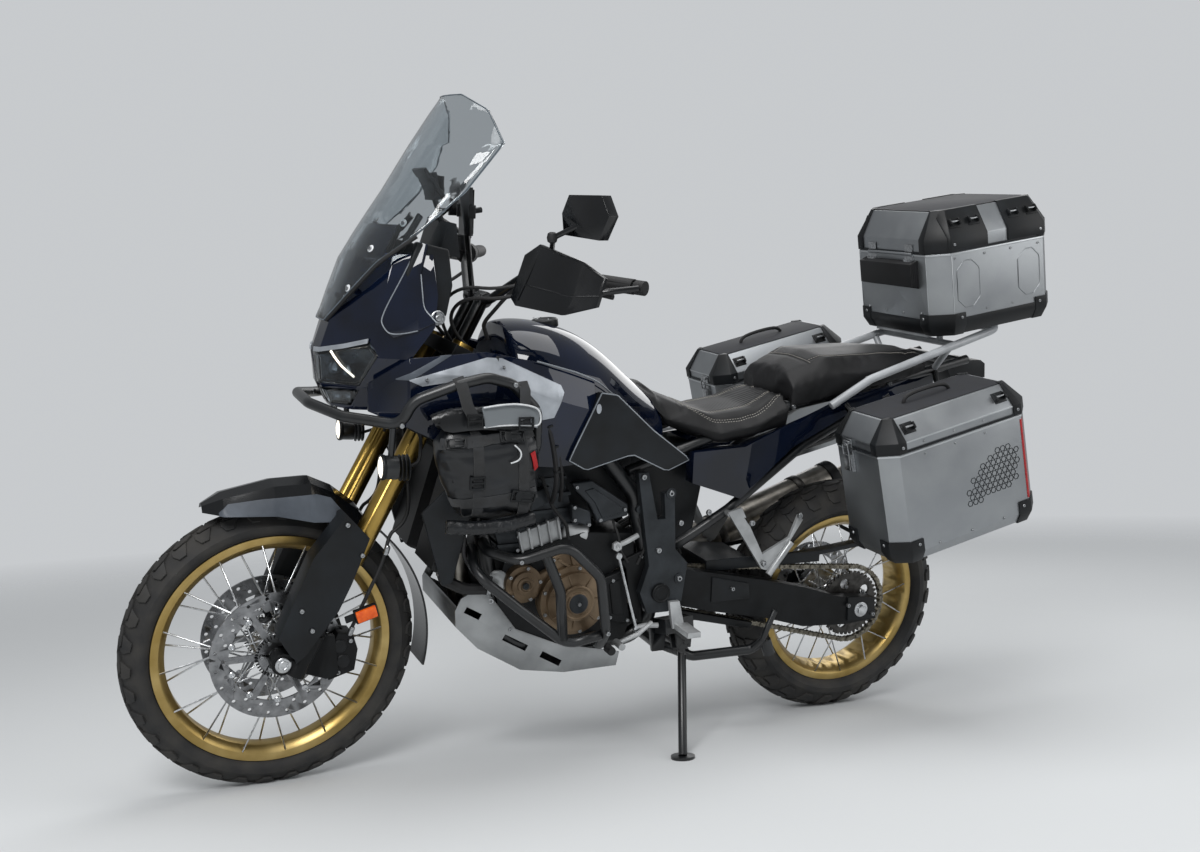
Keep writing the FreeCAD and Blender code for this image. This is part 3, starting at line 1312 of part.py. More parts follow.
def centre_stand():
    """Folded back: two legs, a cross tube and two feet under the swingarm."""
    leg = tube([(610, 118, 290), (500, 120, 240), (340, 150, 252), (304, 162, 280)], 13, 40)
    foot = rod(Vec(304, 162, 280), Vec(292, 168, 240), 16)
    tang = tube([(340, 152, 252), (326, 186, 292), (300, 196, 372)], 8, 20)
    cross = rod(Vec(520, -120, 256), Vec(520, 120, 256), 11)
    made = joined([leg, foot, tang, mirrored(leg), mirrored(foot), cross,
                   rod(CENTRE_PIVOT - LEFT * 128, CENTRE_PIVOT + LEFT * 128, 15)])
    return made.cut(rod(CENTRE_PIVOT - LEFT * 200, CENTRE_PIVOT + LEFT * 200, 8 + s.pin_clearance))


centre_shape = centre_stand()
centre_bracket = [joined([
    prism(((590, 340), (640, 340), (630, 276), (596, 276)), side - 5, side + 5),
    rod(CENTRE_PIVOT + LEFT * (side - 16), CENTRE_PIVOT + LEFT * (side + 5), 8)])
    for side in (139, -139)]
centre_bracket = [piece.cut([centre_shape, frame_shape, stand_bracket, swingarm_shape, skid,
                             case_shape, exhaust_shape]) for piece in centre_bracket]

# Sub-parts in place on the parked bike

frame_pieces = [frame_shape, stand_bracket] + centre_bracket
shaped("frame", Part.makeCompound(frame_pieces))
shaped("pivot_plates", Part.makeCompound([plate_left, mirrored(plate_left)]).cut(stand_bracket))
shaped("engine_case", joined([case_shape]).cut(
    [left_cover, right_cover, exhaust_shape, plate_left, stand_bracket] + centre_bracket))
shaped("engine_cylinders", cylinder_shape)
shaped("engine_covers", covers)
shaped("radiators", Part.makeCompound([radiator_left, mirrored(radiator_left)]))
shaped("exhaust", exhaust_shape)
shaped("skid_plate", skid)
shaped("swingarm", swingarm_shape)
shaped("rear_shock", shock)
shaped("rear_hugger", hugger)
shaped("tank", tank)
shaped("seat_rider", seat_rider)
seat_pillion = seat_pillion.cut([rear_rack, pannier_racks])
seat_pillion = max(seat_pillion.Solids, key=lambda solid: solid.Volume)
shaped("seat_pillion", seat_pillion)
shaped("knee_panels", both_sides(knee))
shaped("side_cowls", both_sides(cowl_left))
shaped("front_cowl", front_cowl_shape)
shaped("headlights", both_sides(lamps_left))
shaped("windscreen", screen)
shaped("dash", dash)
shaped("tail_panels", both_sides(tail_left))
shaped("plate_holder", plate_holder)
shaped("rear_rack", rear_rack)
shaped("pannier_racks", pannier_racks)
shaped("crash_bars", bars_all)
shaped("tank_bags", both_sides(bag_left))
shaped("pegs_and_pedals", foot_pieces.cut(stand_bracket))
shaped("aux_lamps", aux_lamps)
shaped("gearbox_sprocket", output.cut([case_shape, chain_shape]))
shaped("side_stand", stand_shape)
shaped("centre_stand", centre_shape)

# Build, check and write

doc.recompute()
for thing in doc.Objects:
    if "Invalid" in thing.State or "Error" in thing.State:
        raise RuntimeError(f"{thing.Name} is {thing.State}")
for piece in PIECES:
    if piece.Shape.isNull() or not piece.Shape.isValid():
        raise RuntimeError(f"{piece.Label} has no valid shape")
    if not piece.Shape.Solids:
        raise RuntimeError(f"{piece.Label} has no solid")
os.makedirs("parts", exist_ok=True)
whole = FreeCAD.BoundBox()
for piece in PIECES:
    piece.Shape.exportStep(f"parts/{piece.Label}.step")
    whole.add(piece.Shape.BoundBox)
    print(f"{piece.Label:26s} solids {len(piece.Shape.Solids):3d}  {piece.Shape.Volume / 1000:10.1f} cm3")
print("box", whole, "middle", round(whole.Center.x, 1), round(whole.Center.y, 1))
print(len(PIECES), "sub-parts")
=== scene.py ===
import bmesh
import bpy
import json
import math
from mathutils import Matrix, Vector
from mathutils.bvhtree import BVHTree


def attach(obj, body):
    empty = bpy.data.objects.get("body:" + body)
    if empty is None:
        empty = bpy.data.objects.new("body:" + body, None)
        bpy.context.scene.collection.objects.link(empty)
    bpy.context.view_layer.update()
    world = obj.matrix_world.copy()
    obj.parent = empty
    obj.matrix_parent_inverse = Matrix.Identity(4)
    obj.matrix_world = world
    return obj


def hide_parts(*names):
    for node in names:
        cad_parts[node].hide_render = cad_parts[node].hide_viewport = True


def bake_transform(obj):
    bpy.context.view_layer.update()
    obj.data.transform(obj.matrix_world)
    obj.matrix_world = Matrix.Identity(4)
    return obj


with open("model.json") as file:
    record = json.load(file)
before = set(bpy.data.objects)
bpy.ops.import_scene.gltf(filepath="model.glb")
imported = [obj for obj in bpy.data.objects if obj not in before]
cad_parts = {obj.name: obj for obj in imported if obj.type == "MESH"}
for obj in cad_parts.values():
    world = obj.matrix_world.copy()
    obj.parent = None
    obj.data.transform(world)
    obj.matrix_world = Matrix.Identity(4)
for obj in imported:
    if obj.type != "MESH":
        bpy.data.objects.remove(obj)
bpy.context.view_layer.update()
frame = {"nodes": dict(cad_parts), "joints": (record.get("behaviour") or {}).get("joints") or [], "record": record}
JOINTS = {joint["name"]: joint for joint in frame["joints"]}

# Pieces are modelled in millimetres on the upright bike, X forward, Y to its left, Z up,
# zero on the ground under the rear axle. stand() then scales them to metres and leans
# them with the parked bike, and with the turned bars where they steer.

MM = 0.001
WHEELBASE = 1575
REAR_RADIUS = 333.6
FRONT_RADIUS = 347.7
RAKE = math.radians(27.5)

left = Vector(JOINTS["rear_wheel_spin"]["axis"])
front_left = Vector(JOINTS["front_wheel_spin"]["axis"])
steering = Vector(JOINTS["steering_turn"]["axis"])
steering_point = Vector(JOINTS["steering_turn"]["pos_m"])
rear_axle = Vector(JOINTS["rear_wheel_spin"]["pos_m"])
ahead = left.cross(steering)
forward = ahead * math.cos(RAKE) - steering * math.sin(RAKE)
upward = forward.cross(left)
lean = Matrix((forward, left, upward)).transposed().to_4x4()
PARKED = Matrix.Translation(rear_axle - upward * REAR_RADIUS * MM) @ lean @ Matrix.Scale(MM, 4)
bars_turned = math.copysign(left.angle(front_left), left.cross(front_left).dot(steering))
STEERED = (Matrix.Translation(steering_point) @ Matrix.Rotation(bars_turned, 4, steering)
           @ Matrix.Translation(-steering_point) @ PARKED)
FRONT_HUB = STEERED @ Matrix.Translation((WHEELBASE, 0, FRONT_RADIUS))
REAR_HUB = PARKED @ Matrix.Translation((0, 0, REAR_RADIUS))

# Materials


def linear(colour):
    """An sRGB hex colour as the linear values that sockets take."""
    parts = [int(colour[i:i + 2], 16) / 255 for i in (1, 3, 5)]
    curved = [p / 12.92 if p <= 0.04045 else ((p + 0.055) / 1.055) ** 2.4 for p in parts]
    return (*curved, 1)


def add_node(tree, kind, settings=None, links=()):
    """Adds a node with its settings; a link is (own input, other node, its output)."""
    made = tree.nodes.new(kind)
    for name, value in (settings or {}).items():
        if name in made.inputs.keys():
            made.inputs[name].default_value = value
        else:
            setattr(made, name, value)
    for socket, source, output in links:
        tree.links.new(source.outputs[output], made.inputs[socket])
    return made


MATERIALS = {}
WAVE_BAND = math.tau / 20  # how far apart a wave texture's bands are, at a scale of one


def start_material(name, colour, metallic, roughness, **more):
    """A material with its surface values; returns its tree, its shader and where it is read."""
    material = bpy.data.materials.new(name)
    material.use_nodes = True
    tree = material.node_tree
    shader = tree.nodes["Principled BSDF"]
    shader.inputs["Base Color"].default_value = linear(colour)
    shader.inputs["Metallic"].default_value = metallic
    shader.inputs["Roughness"].default_value = roughness
    for socket, value in more.items():
        shader.inputs[socket.replace("_", " ")].default_value = value
    MATERIALS[name] = material
    return tree, shader, (add_node(tree, "ShaderNodeTexCoord"), "Object")


def pattern(surface, kind, size_mm, depth_mm=0.0, output="Fac", **settings):
    """A texture of a size in millimetres, which raises the surface where it has a depth."""
    tree, shader, place = surface
    made = add_node(tree, kind, {"Scale": 1000 / size_mm, **settings}, [("Vector", *place)])
    if depth_mm:
        bump = add_node(tree, "ShaderNodeBump", {"Distance": depth_mm * MM, "Strength": 0.8},
                        [("Height", made, output)])
        tree.links.new(bump.outputs["Normal"], shader.inputs["Normal"])
    return made


def mottle(surface, dark, pale, size_mm, low, high, depth_mm=0.0):
    """Noise that varies the colour between two hex values, the roughness and the height."""
    tree, shader, _ = surface
    noise = pattern(surface, "ShaderNodeTexNoise", size_mm, depth_mm, Detail=6.0)
    mix = add_node(tree, "ShaderNodeValToRGB", links=[("Fac", noise, "Fac")])
    for element, position, colour in zip(mix.color_ramp.elements, (0.35, 0.7), (dark, pale)):
        element.position = position
        element.color = linear(colour)
    tree.links.new(mix.outputs["Color"], shader.inputs["Base Color"])
    rough = add_node(tree, "ShaderNodeMapRange", {"To Min": low, "To Max": high},
                     [("Value", noise, "Fac")])
    tree.links.new(rough.outputs["Result"], shader.inputs["Roughness"])


# Orange peel, mould grain, brush lines, pebbles and threads are finer on the real thing, from
# a tenth of a millimetre to one: here they are drawn 1 to 4 mm wide, which is enough to show.


def tyre_rubber():
    """Carbon black rubber, road dust caught in its pores: dull, a little brown and uneven."""
    surface = start_material("tyre_rubber", "#202022", 0, 0.8)
    mottle(surface, "#1b1b1c", "#34322f", 55, 0.62, 0.9, 0.25)


def gold_anodised(name, dark, pale, roughness):
    """Anodised aluminium: dyed oxide over fine turning marks, so a soft tinted shine."""
    surface = start_material(name, dark, 1, roughness)
    mottle(surface, dark, pale, 90, roughness - 0.06, roughness + 0.1)


def steel(name, dark, pale, roughness, size_mm=14):
    """Steel as it was drawn or ground: grey, with streaks of finer and coarser polish."""
    surface = start_material(name, dark, 1, roughness)
    mottle(surface, dark, pale, size_mm, roughness - 0.08, roughness + 0.14, 0.02)


def cast_metal(name, dark, pale, roughness):
    """Die casting under satin paint or bare: an even fine grain from the mould."""
    surface = start_material(name, dark, 0.55, roughness)
    mottle(surface, dark, pale, 70, roughness - 0.06, roughness + 0.12)
    pattern(surface, "ShaderNodeTexNoise", 1.6, 0.25, Detail=2.0)


def powder_coat(name, colour, pale, roughness):
    """Baked powder on steel tube: satin, with a fine orange peel."""
    surface = start_material(name, colour, 0, roughness, Coat_Weight=0.25, Coat_Roughness=0.3)
    mottle(surface, colour, pale, 60, roughness - 0.06, roughness + 0.1)
    pattern(surface, "ShaderNodeTexNoise", 2.381, 0.12, Detail=1.0)


def gloss_paint():
    """Near-black blue lacquer over ABS: deep, with a hard clear coat."""
    surface = start_material("gloss_paint", "#080f20", 0.1, 0.28, Coat_Weight=1.0,
                             Coat_Roughness=0.03, Specular_IOR_Level=0.0)
    mottle(surface, "#060b17", "#0c162c", 140, 0.24, 0.34)


def moulded_plastic(name, dark, pale, roughness, grain_mm=1.2):
    """Polypropylene from a grained mould: satin black that greys where it is rubbed."""
    surface = start_material(name, dark, 0, roughness, Specular_IOR_Level=0.3)
    mottle(surface, dark, pale, 80, roughness - 0.08, roughness + 0.12)
    pattern(surface, "ShaderNodeTexVoronoi", grain_mm, 0.08, "Distance")


def brushed_sheet(name, dark, pale, roughness, stretch):
    """Rolled aluminium sheet brushed along its length: streaks, scuffs and dull patches."""
    surface = tree, shader, place = start_material(name, dark, 1, roughness)
    along = add_node(tree, "ShaderNodeMapping", {"Rotation": lean.to_euler(), "Scale": stretch},
                     [("Vector", *place)])
    mottle(surface, dark, pale, 120, roughness - 0.1, roughness + 0.16)
    pattern((tree, shader, (along, "Vector")), "ShaderNodeTexNoise", 3.846, 0.05, Detail=3.0)


def grained_leather(name, dark, pale):
    """Vinyl seat cover: small pebbled grain, a dull sheen where riders sit."""
    surface = start_material(name, dark, 0, 0.5, Specular_IOR_Level=0.3)
    mottle(surface, dark, pale, 90, 0.42, 0.6)
    pattern(surface, "ShaderNodeTexVoronoi", 1.923, 0.35, "Distance")


def ribbed_vinyl():
    """Vinyl welded in fine ribs across the seat, 7 mm apart: a soft sheen on each rib."""
    surface = start_material("ribbed_cover", "#0c0c0d", 0, 0.5, Specular_IOR_Level=0.3)
    mottle(surface, "#0b0b0c", "#161618", 90, 0.42, 0.58)
    pattern(surface, "ShaderNodeTexWave", 6.981 / WAVE_BAND, 0.8, Distortion=0.2)


def coated_cloth():
    """Tarpaulin: woven polyester under soft PVC, so a dull gloss over a faint grid."""
    surface = start_material("tarpaulin", "#090a0c", 0, 0.34)
    mottle(surface, "#07080a", "#13161a", 70, 0.22, 0.42)
    pattern(surface, "ShaderNodeTexVoronoi", 2.381, 0.2, "Distance", distance="CHEBYCHEV")


def webbing():
    """Woven polyamide strap: ribs across it, dull and slightly grey."""
    surface = start_material("webbing", "#17181a", 0, 0.8, Sheen_Weight=0.2)
    mottle(surface, "#131415", "#26282b", 30, 0.7, 0.9)
    pattern(surface, "ShaderNodeTexWave", 1.745 / WAVE_BAND, 0.4, Distortion=0.6)


def clear_sheet(name, colour, roughness, transmission):
    """Clear polycarbonate: light goes through, edges and grazing views shine."""
    start_material(name, colour, 0, roughness, IOR=1.49, Transmission_Weight=transmission,
                   Specular_IOR_Level=0.3)


def lit_lens(name, colour, strength):
    """A clear lens with its lamp lit behind it: even, warm white and bright."""
    start_material(name, colour, 0, 0.2, Emission_Color=linear(colour),
                   Emission_Strength=strength)


def plain_finish(name, colour, metallic, roughness, pale, size_mm=40):
    """A finish whose own grain doesn't show: patches of two tones and of wear."""
    surface = start_material(name, colour, metallic, roughness)
    mottle(surface, colour, pale, size_mm, roughness - 0.05, roughness + 0.1)


tyre_rubber()
# The rims are anodised pale gold and blasted; the fork tubes are drawn, so deeper and shinier
gold_anodised("gold_rim", "#a08750", "#c6ad74", 0.32)
gold_anodised("gold_tube", "#9a7f42", "#b89a55", 0.28)
# Stainless wire shines white; pads grind the discs to an even grey
steel("bright_spoke", "#b4b6b8", "#d6d8da", 0.26)
steel("ground_disc", "#77787a", "#9c9d9f", 0.26, 26)
# Hardened steel is dark and brownish, and oil with road dust makes a chain patchy
steel("dark_steel", "#3d3c3a", "#5a5856", 0.42)
steel("oiled_chain", "#5c584f", "#918c80", 0.34, 9)
# Heat has turned the stainless pipes a warm grey; zinc plate is light with small highlights
steel("brushed_stainless", "#77736c", "#97938c", 0.32, 24)
steel("zinc_bolt", "#8e9092", "#b9bbbd", 0.3, 5)
# Painted castings: satin black, slate grey and a brown bronze that catches the light; bare ones
# are pale and soft
cast_metal("black_cast", "#0c0d0e", "#191b1d", 0.46)
cast_metal("grey_cast", "#232629", "#373b3f", 0.38)
cast_metal("bronze_cover", "#5c4c3a", "#7c6a54", 0.3)
cast_metal("bare_cast", "#9a9c9d", "#c0c2c3", 0.32)
# Powder coat on the frame and bars is black satin, and on the luggage rail a flat silver
powder_coat("black_tube", "#0a0b0c", "#14171a", 0.34)
powder_coat("silver_rail", "#8f9295", "#a8abae", 0.34)
gloss_paint()
# Grained mouldings: the panels, the blacker and coarser caps, the slate grey fender sides
moulded_plastic("satin_plastic", "#0c0e10", "#171b1f", 0.46)
moulded_plastic("black_cap", "#0a0b0c", "#14171a", 0.42, 1.6)
moulded_plastic("grey_fender", "#43484f", "#565c64", 0.38)
# The cases' sheet is scuffed and dull; its folded edges are paler, partly rubbed metal and partly a painted
# highlight where the bends catch the light; the skid plate is brushed along the bike and scratched by stones
brushed_sheet("case_sheet", "#94979a", "#a1a4a6", 0.38, (1, 1, 24))
brushed_sheet("rubbed_edge_and_highlight", "#b4b7b9", "#c6c9cb", 0.3, (1, 1, 24))
brushed_sheet("skid_sheet", "#8a8c8d", "#b0b2b3", 0.42, (1, 10, 1))
plain_finish("lid_mat", "#17181c", 0, 0.7, "#202228", 30)  # EVA mat: flat, dark, a little blue
plain_finish("silver_panel", "#9fa4aa", 0.6, 0.34, "#b6bbc1")  # silver lacquer: cool and soft
grained_leather("seat_leather", "#0a0a0b", "#141416")
ribbed_vinyl()
coated_cloth()
webbing()
plain_finish("matt_rubber", "#0b0b0c", 0, 0.62, "#161618")  # EPDM hose: black with no shine
plain_finish("stitching", "#8d8a84", 0, 0.8, "#a8a49c", 4)  # polyester thread: grey, fluffy
plain_finish("pale_cord", "#b9bcbe", 0, 0.6, "#cfd1d2", 10)  # braided nylon: off-white, dull
plain_finish("radiator_fins", "#0c0c0d", 0.4, 0.5, "#1c1d1e", 6)  # painted fins: uneven black
plain_finish("orange_reflector", "#d8500a", 0, 0.22, "#ee6a14", 12)  # amber PMMA: bright, glossy
plain_finish("red_reflector", "#8c0b0d", 0, 0.25, "#a81114", 12)  # red PMMA: deep and glossy
plain_finish("red_tab", "#9c1216", 0, 0.7, "#b31b1f", 12)  # nylon ribbon: red with no shine
plain_finish("mirror_glass", "#c9ccd0", 1, 0.03, "#d0d3d7", 200)  # silvered glass: sharp image
plain_finish("lamp_bowl", "#2b2f33", 0.9, 0.22, "#454b51", 30)  # smoked metallised PC: dark shine
plain_finish("lamp_chrome", "#aeb2b6", 1, 0.12, "#c4c8cc", 30)  # metallised PC: clear bright shine
plain_finish("screen_line", "#4a5258", 0, 0.2, "#59626a", 90)  # cut edge of PC: grey and glossy
plain_finish("painted_edge_highlight", "#6f747a", 0.2, 0.35, "#868c92", 60)  # painted highlight: a pale line where a moulding's edge catches the light
plain_finish("white_washer", "#d2d4d6", 0, 0.4, "#dfe1e3", 10)  # nylon: milky white, satin
plain_finish("gloss_plastic", "#07080a", 0, 0.16, "#0d0f12", 120)  # polished ABS: black, shiny
plain_finish("screen_black", "#07080a", 0, 0.12, "#0b0c0f", 200)  # cover glass, dark: shines
plain_finish("blank_plate", "#c9cac6", 0, 0.45, "#d6d7d3")  # enamelled sheet: white, satin
# Clear polycarbonate, then a cooler lens, then soft PVC that is cloudy and less clear
clear_sheet("clear_screen", "#dfe6ea", 0.02, 1.0)
clear_sheet("lamp_lens", "#d4dde4", 0.02, 1.0)
clear_sheet("clear_pocket", "#8d9397", 0.3, 0.5)
lit_lens("lit_lamp", "#fff6e4", 1.6)

NODE_FINISH = {
    "front_tyre": "tyre_rubber", "rear_tyre": "tyre_rubber",
    "front_rim": "gold_rim", "rear_rim": "gold_rim",
    "front_hub_and_spokes": "bright_spoke", "rear_hub_and_spokes": "bright_spoke",
    "front_brake_discs": "ground_disc", "rear_brake_disc": "ground_disc",
    "rear_sprocket": "dark_steel", "gearbox_sprocket": "dark_steel", "chain": "oiled_chain",
    "fork_outer_tubes": "gold_tube", "fork_lowers_and_axle": "black_cast",
    "fork_clamps": "black_cast", "handlebar": "black_tube", "grips_and_levers": "matt_rubber",
    "handguards": "gloss_plastic", "mirrors": "gloss_plastic", "front_fender": "gloss_plastic",
    "fork_guards": "satin_plastic", "front_calipers": "black_cast",
    "frame": "black_tube", "pivot_plates": "grey_cast", "engine_case": "black_cast",
    "engine_cylinders": "grey_cast", "engine_covers": "bronze_cover",
    "radiators": "radiator_fins", "exhaust": "brushed_stainless", "skid_plate": "skid_sheet",
    "swingarm": "black_cast", "rear_shock": "black_tube", "rear_hugger": "satin_plastic",
    "tank": "gloss_paint", "seat_rider": "seat_leather", "seat_pillion": "seat_leather",
    "knee_panels": "satin_plastic", "side_cowls": "gloss_paint", "front_cowl": "gloss_paint",
    "headlights": "lamp_lens", "windscreen": "clear_screen", "dash": "satin_plastic",
    "tail_panels": "gloss_paint", "plate_holder": "satin_plastic", "rear_rack": "silver_rail",
    "pannier_racks": "black_tube", "crash_bars": "black_tube", "tank_bags": "tarpaulin",
    "pegs_and_pedals": "bare_cast", "aux_lamps": "black_tube",
    "left_pannier_body": "case_sheet", "right_pannier_body": "case_sheet",
    "top_case_body": "case_sheet", "left_pannier_lid": "case_sheet",
    "right_pannier_lid": "case_sheet", "top_case_lid": "case_sheet",
    "backrest_pad": "ribbed_cover", "side_stand": "black_tube", "centre_stand": "black_tube",
}
for node_name, node in frame["nodes"].items():
    node.data.materials.clear()
    node.data.materials.append(MATERIALS[NODE_FINISH[node_name]])

BODY = {node: body for body, nodes in frame["record"]["behaviour"]["bodies"].items()
        for node in nodes}

# Modelling


def alone(piece):
    """Selects one piece and nothing else."""
    bpy.ops.object.select_all(action="DESELECT")
    piece.select_set(True)
    bpy.context.view_layer.objects.active = piece
    return piece


def edit(piece, everything=False):
    """Opens a piece for editing, with nothing or everything in it selected."""
    alone(piece)
    bpy.ops.object.mode_set(mode="EDIT")
    bpy.ops.mesh.select_all(action="SELECT" if everything else "DESELECT")
    return bmesh.from_edit_mesh(piece.data)


def leave_edit():
    """Closes the piece that is open for editing."""
    bpy.ops.object.mode_set(mode="OBJECT")


def modify(piece, kind, **settings):
    """Adds a modifier with its settings and applies it."""
    alone(piece)
    modifier = piece.modifiers.new(kind.lower(), kind)
    for name, value in settings.items():
        setattr(modifier, name, value)
    bpy.ops.object.modifier_apply(modifier=modifier.name)
    return piece


def ease_edges(piece, width, segments=2, angle=32):
    """Bevels the edges that are sharper than an angle."""
    return modify(piece, "BEVEL", width=width, segments=segments, limit_method="ANGLE",
                  angle_limit=math.radians(angle))


def face_outwards(piece):
    """Turns all faces of a closed piece outwards."""
    edit(piece, True)
    bpy.ops.mesh.normals_make_consistent(inside=False)
    leave_edit()
    return piece


def coat(piece, finish, smooth):
    """Gives a piece its finish, and smooth shading over edges flatter than an angle."""
    piece.data.materials.clear()
    piece.data.materials.append(MATERIALS[finish])
    alone(piece)
    bpy.ops.object.shade_smooth_by_angle(angle=math.radians(smooth))


def stand(piece, name, place, finish, body, smooth=40):
    """Takes a piece from millimetres to its place on the parked bike, with finish and body."""
    piece.name = name
    piece.data.transform(place)
    face_outwards(piece)
    coat(piece, finish, smooth)
    if body:
        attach(piece, body)
    return piece


def fixed(piece, name, finish, smooth=40):
    """Stands a piece on the parked bike's chassis."""
    return stand(piece, name, PARKED, finish, "chassis", smooth)


def steer(piece, name, finish):
    """Stands a piece on the turned bars and fork."""
    return stand(piece, name, STEERED, finish, "steering")


def copied(piece, place=None):
    """A copy with its own mesh, moved where a place says."""
    twin = bpy.data.objects.new(piece.name, piece.data.copy())
    bpy.context.collection.objects.link(twin)
    if place is not None:
        twin.data.transform(place)
    return twin


def joined(pieces):
    """Makes one piece of several."""
    bpy.ops.object.select_all(action="DESELECT")
    for piece in pieces:
        piece.select_set(True)
    bpy.context.view_layer.objects.active = pieces[0]
    bpy.ops.object.join()
    return pieces[0]


def repeated(model, places):
    """One piece made of a copy of the model at each place; the model itself goes."""
    twins = [copied(model, place) for place in places]
    bpy.data.objects.remove(model)
    return joined(twins)


MIRROR = Matrix.Diagonal((1, -1, 1, 1))


def both_sides(piece):
    """A piece drawn on the left, with its mirror image."""
    return joined([piece, copied(piece, MIRROR)])


def towards(place, axis, turn=0.0):
    """Stands what is drawn along Z at a place, along another axis."""
    facing = Vector(axis).to_track_quat("Z", "Y").to_matrix().to_4x4()
    return Matrix.Translation(place) @ facing @ Matrix.Rotation(math.radians(turn), 4, "Z")


def cuboid(low, high, bevel=1.0):
    """A block between two corners, with eased edges."""
    bpy.ops.mesh.primitive_cube_add(size=1)
    piece = bpy.context.object
    low, high = Vector(low), Vector(high)
    piece.data.transform(Matrix.Translation((low + high) / 2)
                         @ Matrix.Diagonal((*(high - low), 1)))
    return ease_edges(piece, bevel)


def stepped(steps, sides=32, bevel=0.8):
    """A turned piece along Z from (radius, height) steps, its rings drawn out one by one."""
    radius, height = steps[0]
    bpy.ops.mesh.primitive_circle_add(vertices=sides, radius=radius, fill_type="NGON")
    piece = bpy.context.object
    edit(piece, True)
    bpy.ops.transform.translate(value=(0, 0, height))
    for wide, high in steps[1:]:
        bpy.ops.mesh.extrude_region_move(
            TRANSFORM_OT_translate={"value": (0, 0, high - height)})
        if radius:
            bpy.ops.transform.resize(value=(wide / radius, wide / radius, 1),
                                     center_override=(0, 0, high))
        radius, height = wide, high
    leave_edit()
    if bevel:
        ease_edges(piece, bevel)
    return piece


LEFT = (0, 1, 0)
RIGHT = (0, -1, 0)
AHEAD = (1, 0, 0)


def turned(place, axis, steps, sides=32, bevel=0.8):
    """A turned piece set at a place on the bike, along an axis."""
    piece = stepped(steps, sides, bevel)
    piece.data.transform(towards(place, axis))
    return piece


def lofted(sections, smooth_levels=0):
    """A closed skin drawn out from one ring of corners through the others."""
    bpy.ops.mesh.primitive_circle_add(vertices=len(sections[0]), radius=1, fill_type="NGON")
    piece = bpy.context.object
    for corner, place in zip(piece.data.vertices, sections[0]):
        corner.co = place
    edit(piece, True)
    before = [Vector(place) for place in sections[0]]
    for section in sections[1:]:
        bpy.ops.mesh.extrude_region_move()
        skin = bmesh.from_edit_mesh(piece.data)
        ring = [corner for corner in skin.verts if corner.select]
        for place, target in zip(before, section):
            nearest = min(ring, key=lambda corner: (corner.co - place).length)
            ring.remove(nearest)
            nearest.co = target
        before = [Vector(place) for place in section]
    bmesh.update_edit_mesh(piece.data)
    leave_edit()
    if smooth_levels:
        modify(piece, "SUBSURF", levels=smooth_levels, render_levels=smooth_levels)
    return piece


def sheet_panel(outline, low, high, bevel=1.5, segments=2):
    """An outline of (x, z), thick from one distance to the left to another."""
    rings = [[(x, side, z) for x, z in outline] for side in (low, high)]
    return ease_edges(lofted(rings), bevel, segments)


def hose(points, radius, order=3, sides=2):
    """A bent round bar or hose along points."""
    points = [Vector(point) for point in points]
    while len(points) < 5:
        points = [a for pair in zip(points, [(a + b) / 2 for a, b in zip(points, points[1:])])
                  for a in pair] + [points[-1]]
    bpy.ops.curve.primitive_nurbs_path_add()
    made = bpy.context.object
    line = made.data.splines[0]
    line.points.add(len(points) - len(line.points))
    for point, place in zip(line.points, points):
        point.co = (*place, 1)
    line.use_endpoint_u = True
    line.order_u = order
    made.data.resolution_u = 6
    made.data.bevel_depth = radius
    made.data.bevel_resolution = sides
    made.data.use_fill_caps = True
    alone(made)
    bpy.ops.object.convert(target="MESH")
    return bpy.context.object


def turned_set(pairs, steps, sides=32, bevel=0.8):
    """A turned piece at each (place, axis) pair, as one piece."""
    return repeated(stepped(steps, sides, bevel), [towards(*pair) for pair in pairs])


def bolts(pairs, radius=5, height=4):
    """Bolts with button heads and a sunk socket, at (place, axis) pairs."""
    return turned_set(pairs, [(radius, 0), (radius, height * 0.6), (radius * 0.8, height),
                              (radius * 0.45, height), (radius * 0.4, height * 0.45)], 12, 0)


def outward(*spots, axis=LEFT):
    """Pairs each spot with the way it faces, for bolts."""
    return [(spot, axis) for spot in spots]


def bolt_circle(x, z, radius, side, count, start=0, axis=LEFT):
    """Spots round a circle seen from the side, the first at start degrees, as they face."""
    turns = [math.radians(start + 360 * number / count) for number in range(count)]
    return [((x + radius * math.cos(turn), side, z + radius * math.sin(turn)), axis)
            for turn in turns]


def merged_copy(node):
    """A copy of a CAD node, its loose triangles joined into clean faces."""
    source = frame["nodes"][node]
    piece = bpy.data.objects.new(node + "_finish", source.data.copy())
    bpy.context.collection.objects.link(piece)
    edit(piece, True)
    bpy.ops.mesh.remove_doubles(threshold=0.00002)
    bpy.ops.mesh.dissolve_limited(angle_limit=math.radians(0.6))
    leave_edit()
    return piece


def dressed(node, finish, bevel=0.0, segments=2, angle=32, smooth=42):
    """A CAD node's own form with its edges eased and its round faces smooth."""
    piece = merged_copy(node)
    if bevel:
        ease_edges(piece, bevel * MM, segments, angle)
    coat(piece, finish, smooth)
    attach(piece, BODY[node])
    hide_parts(node)
    return piece


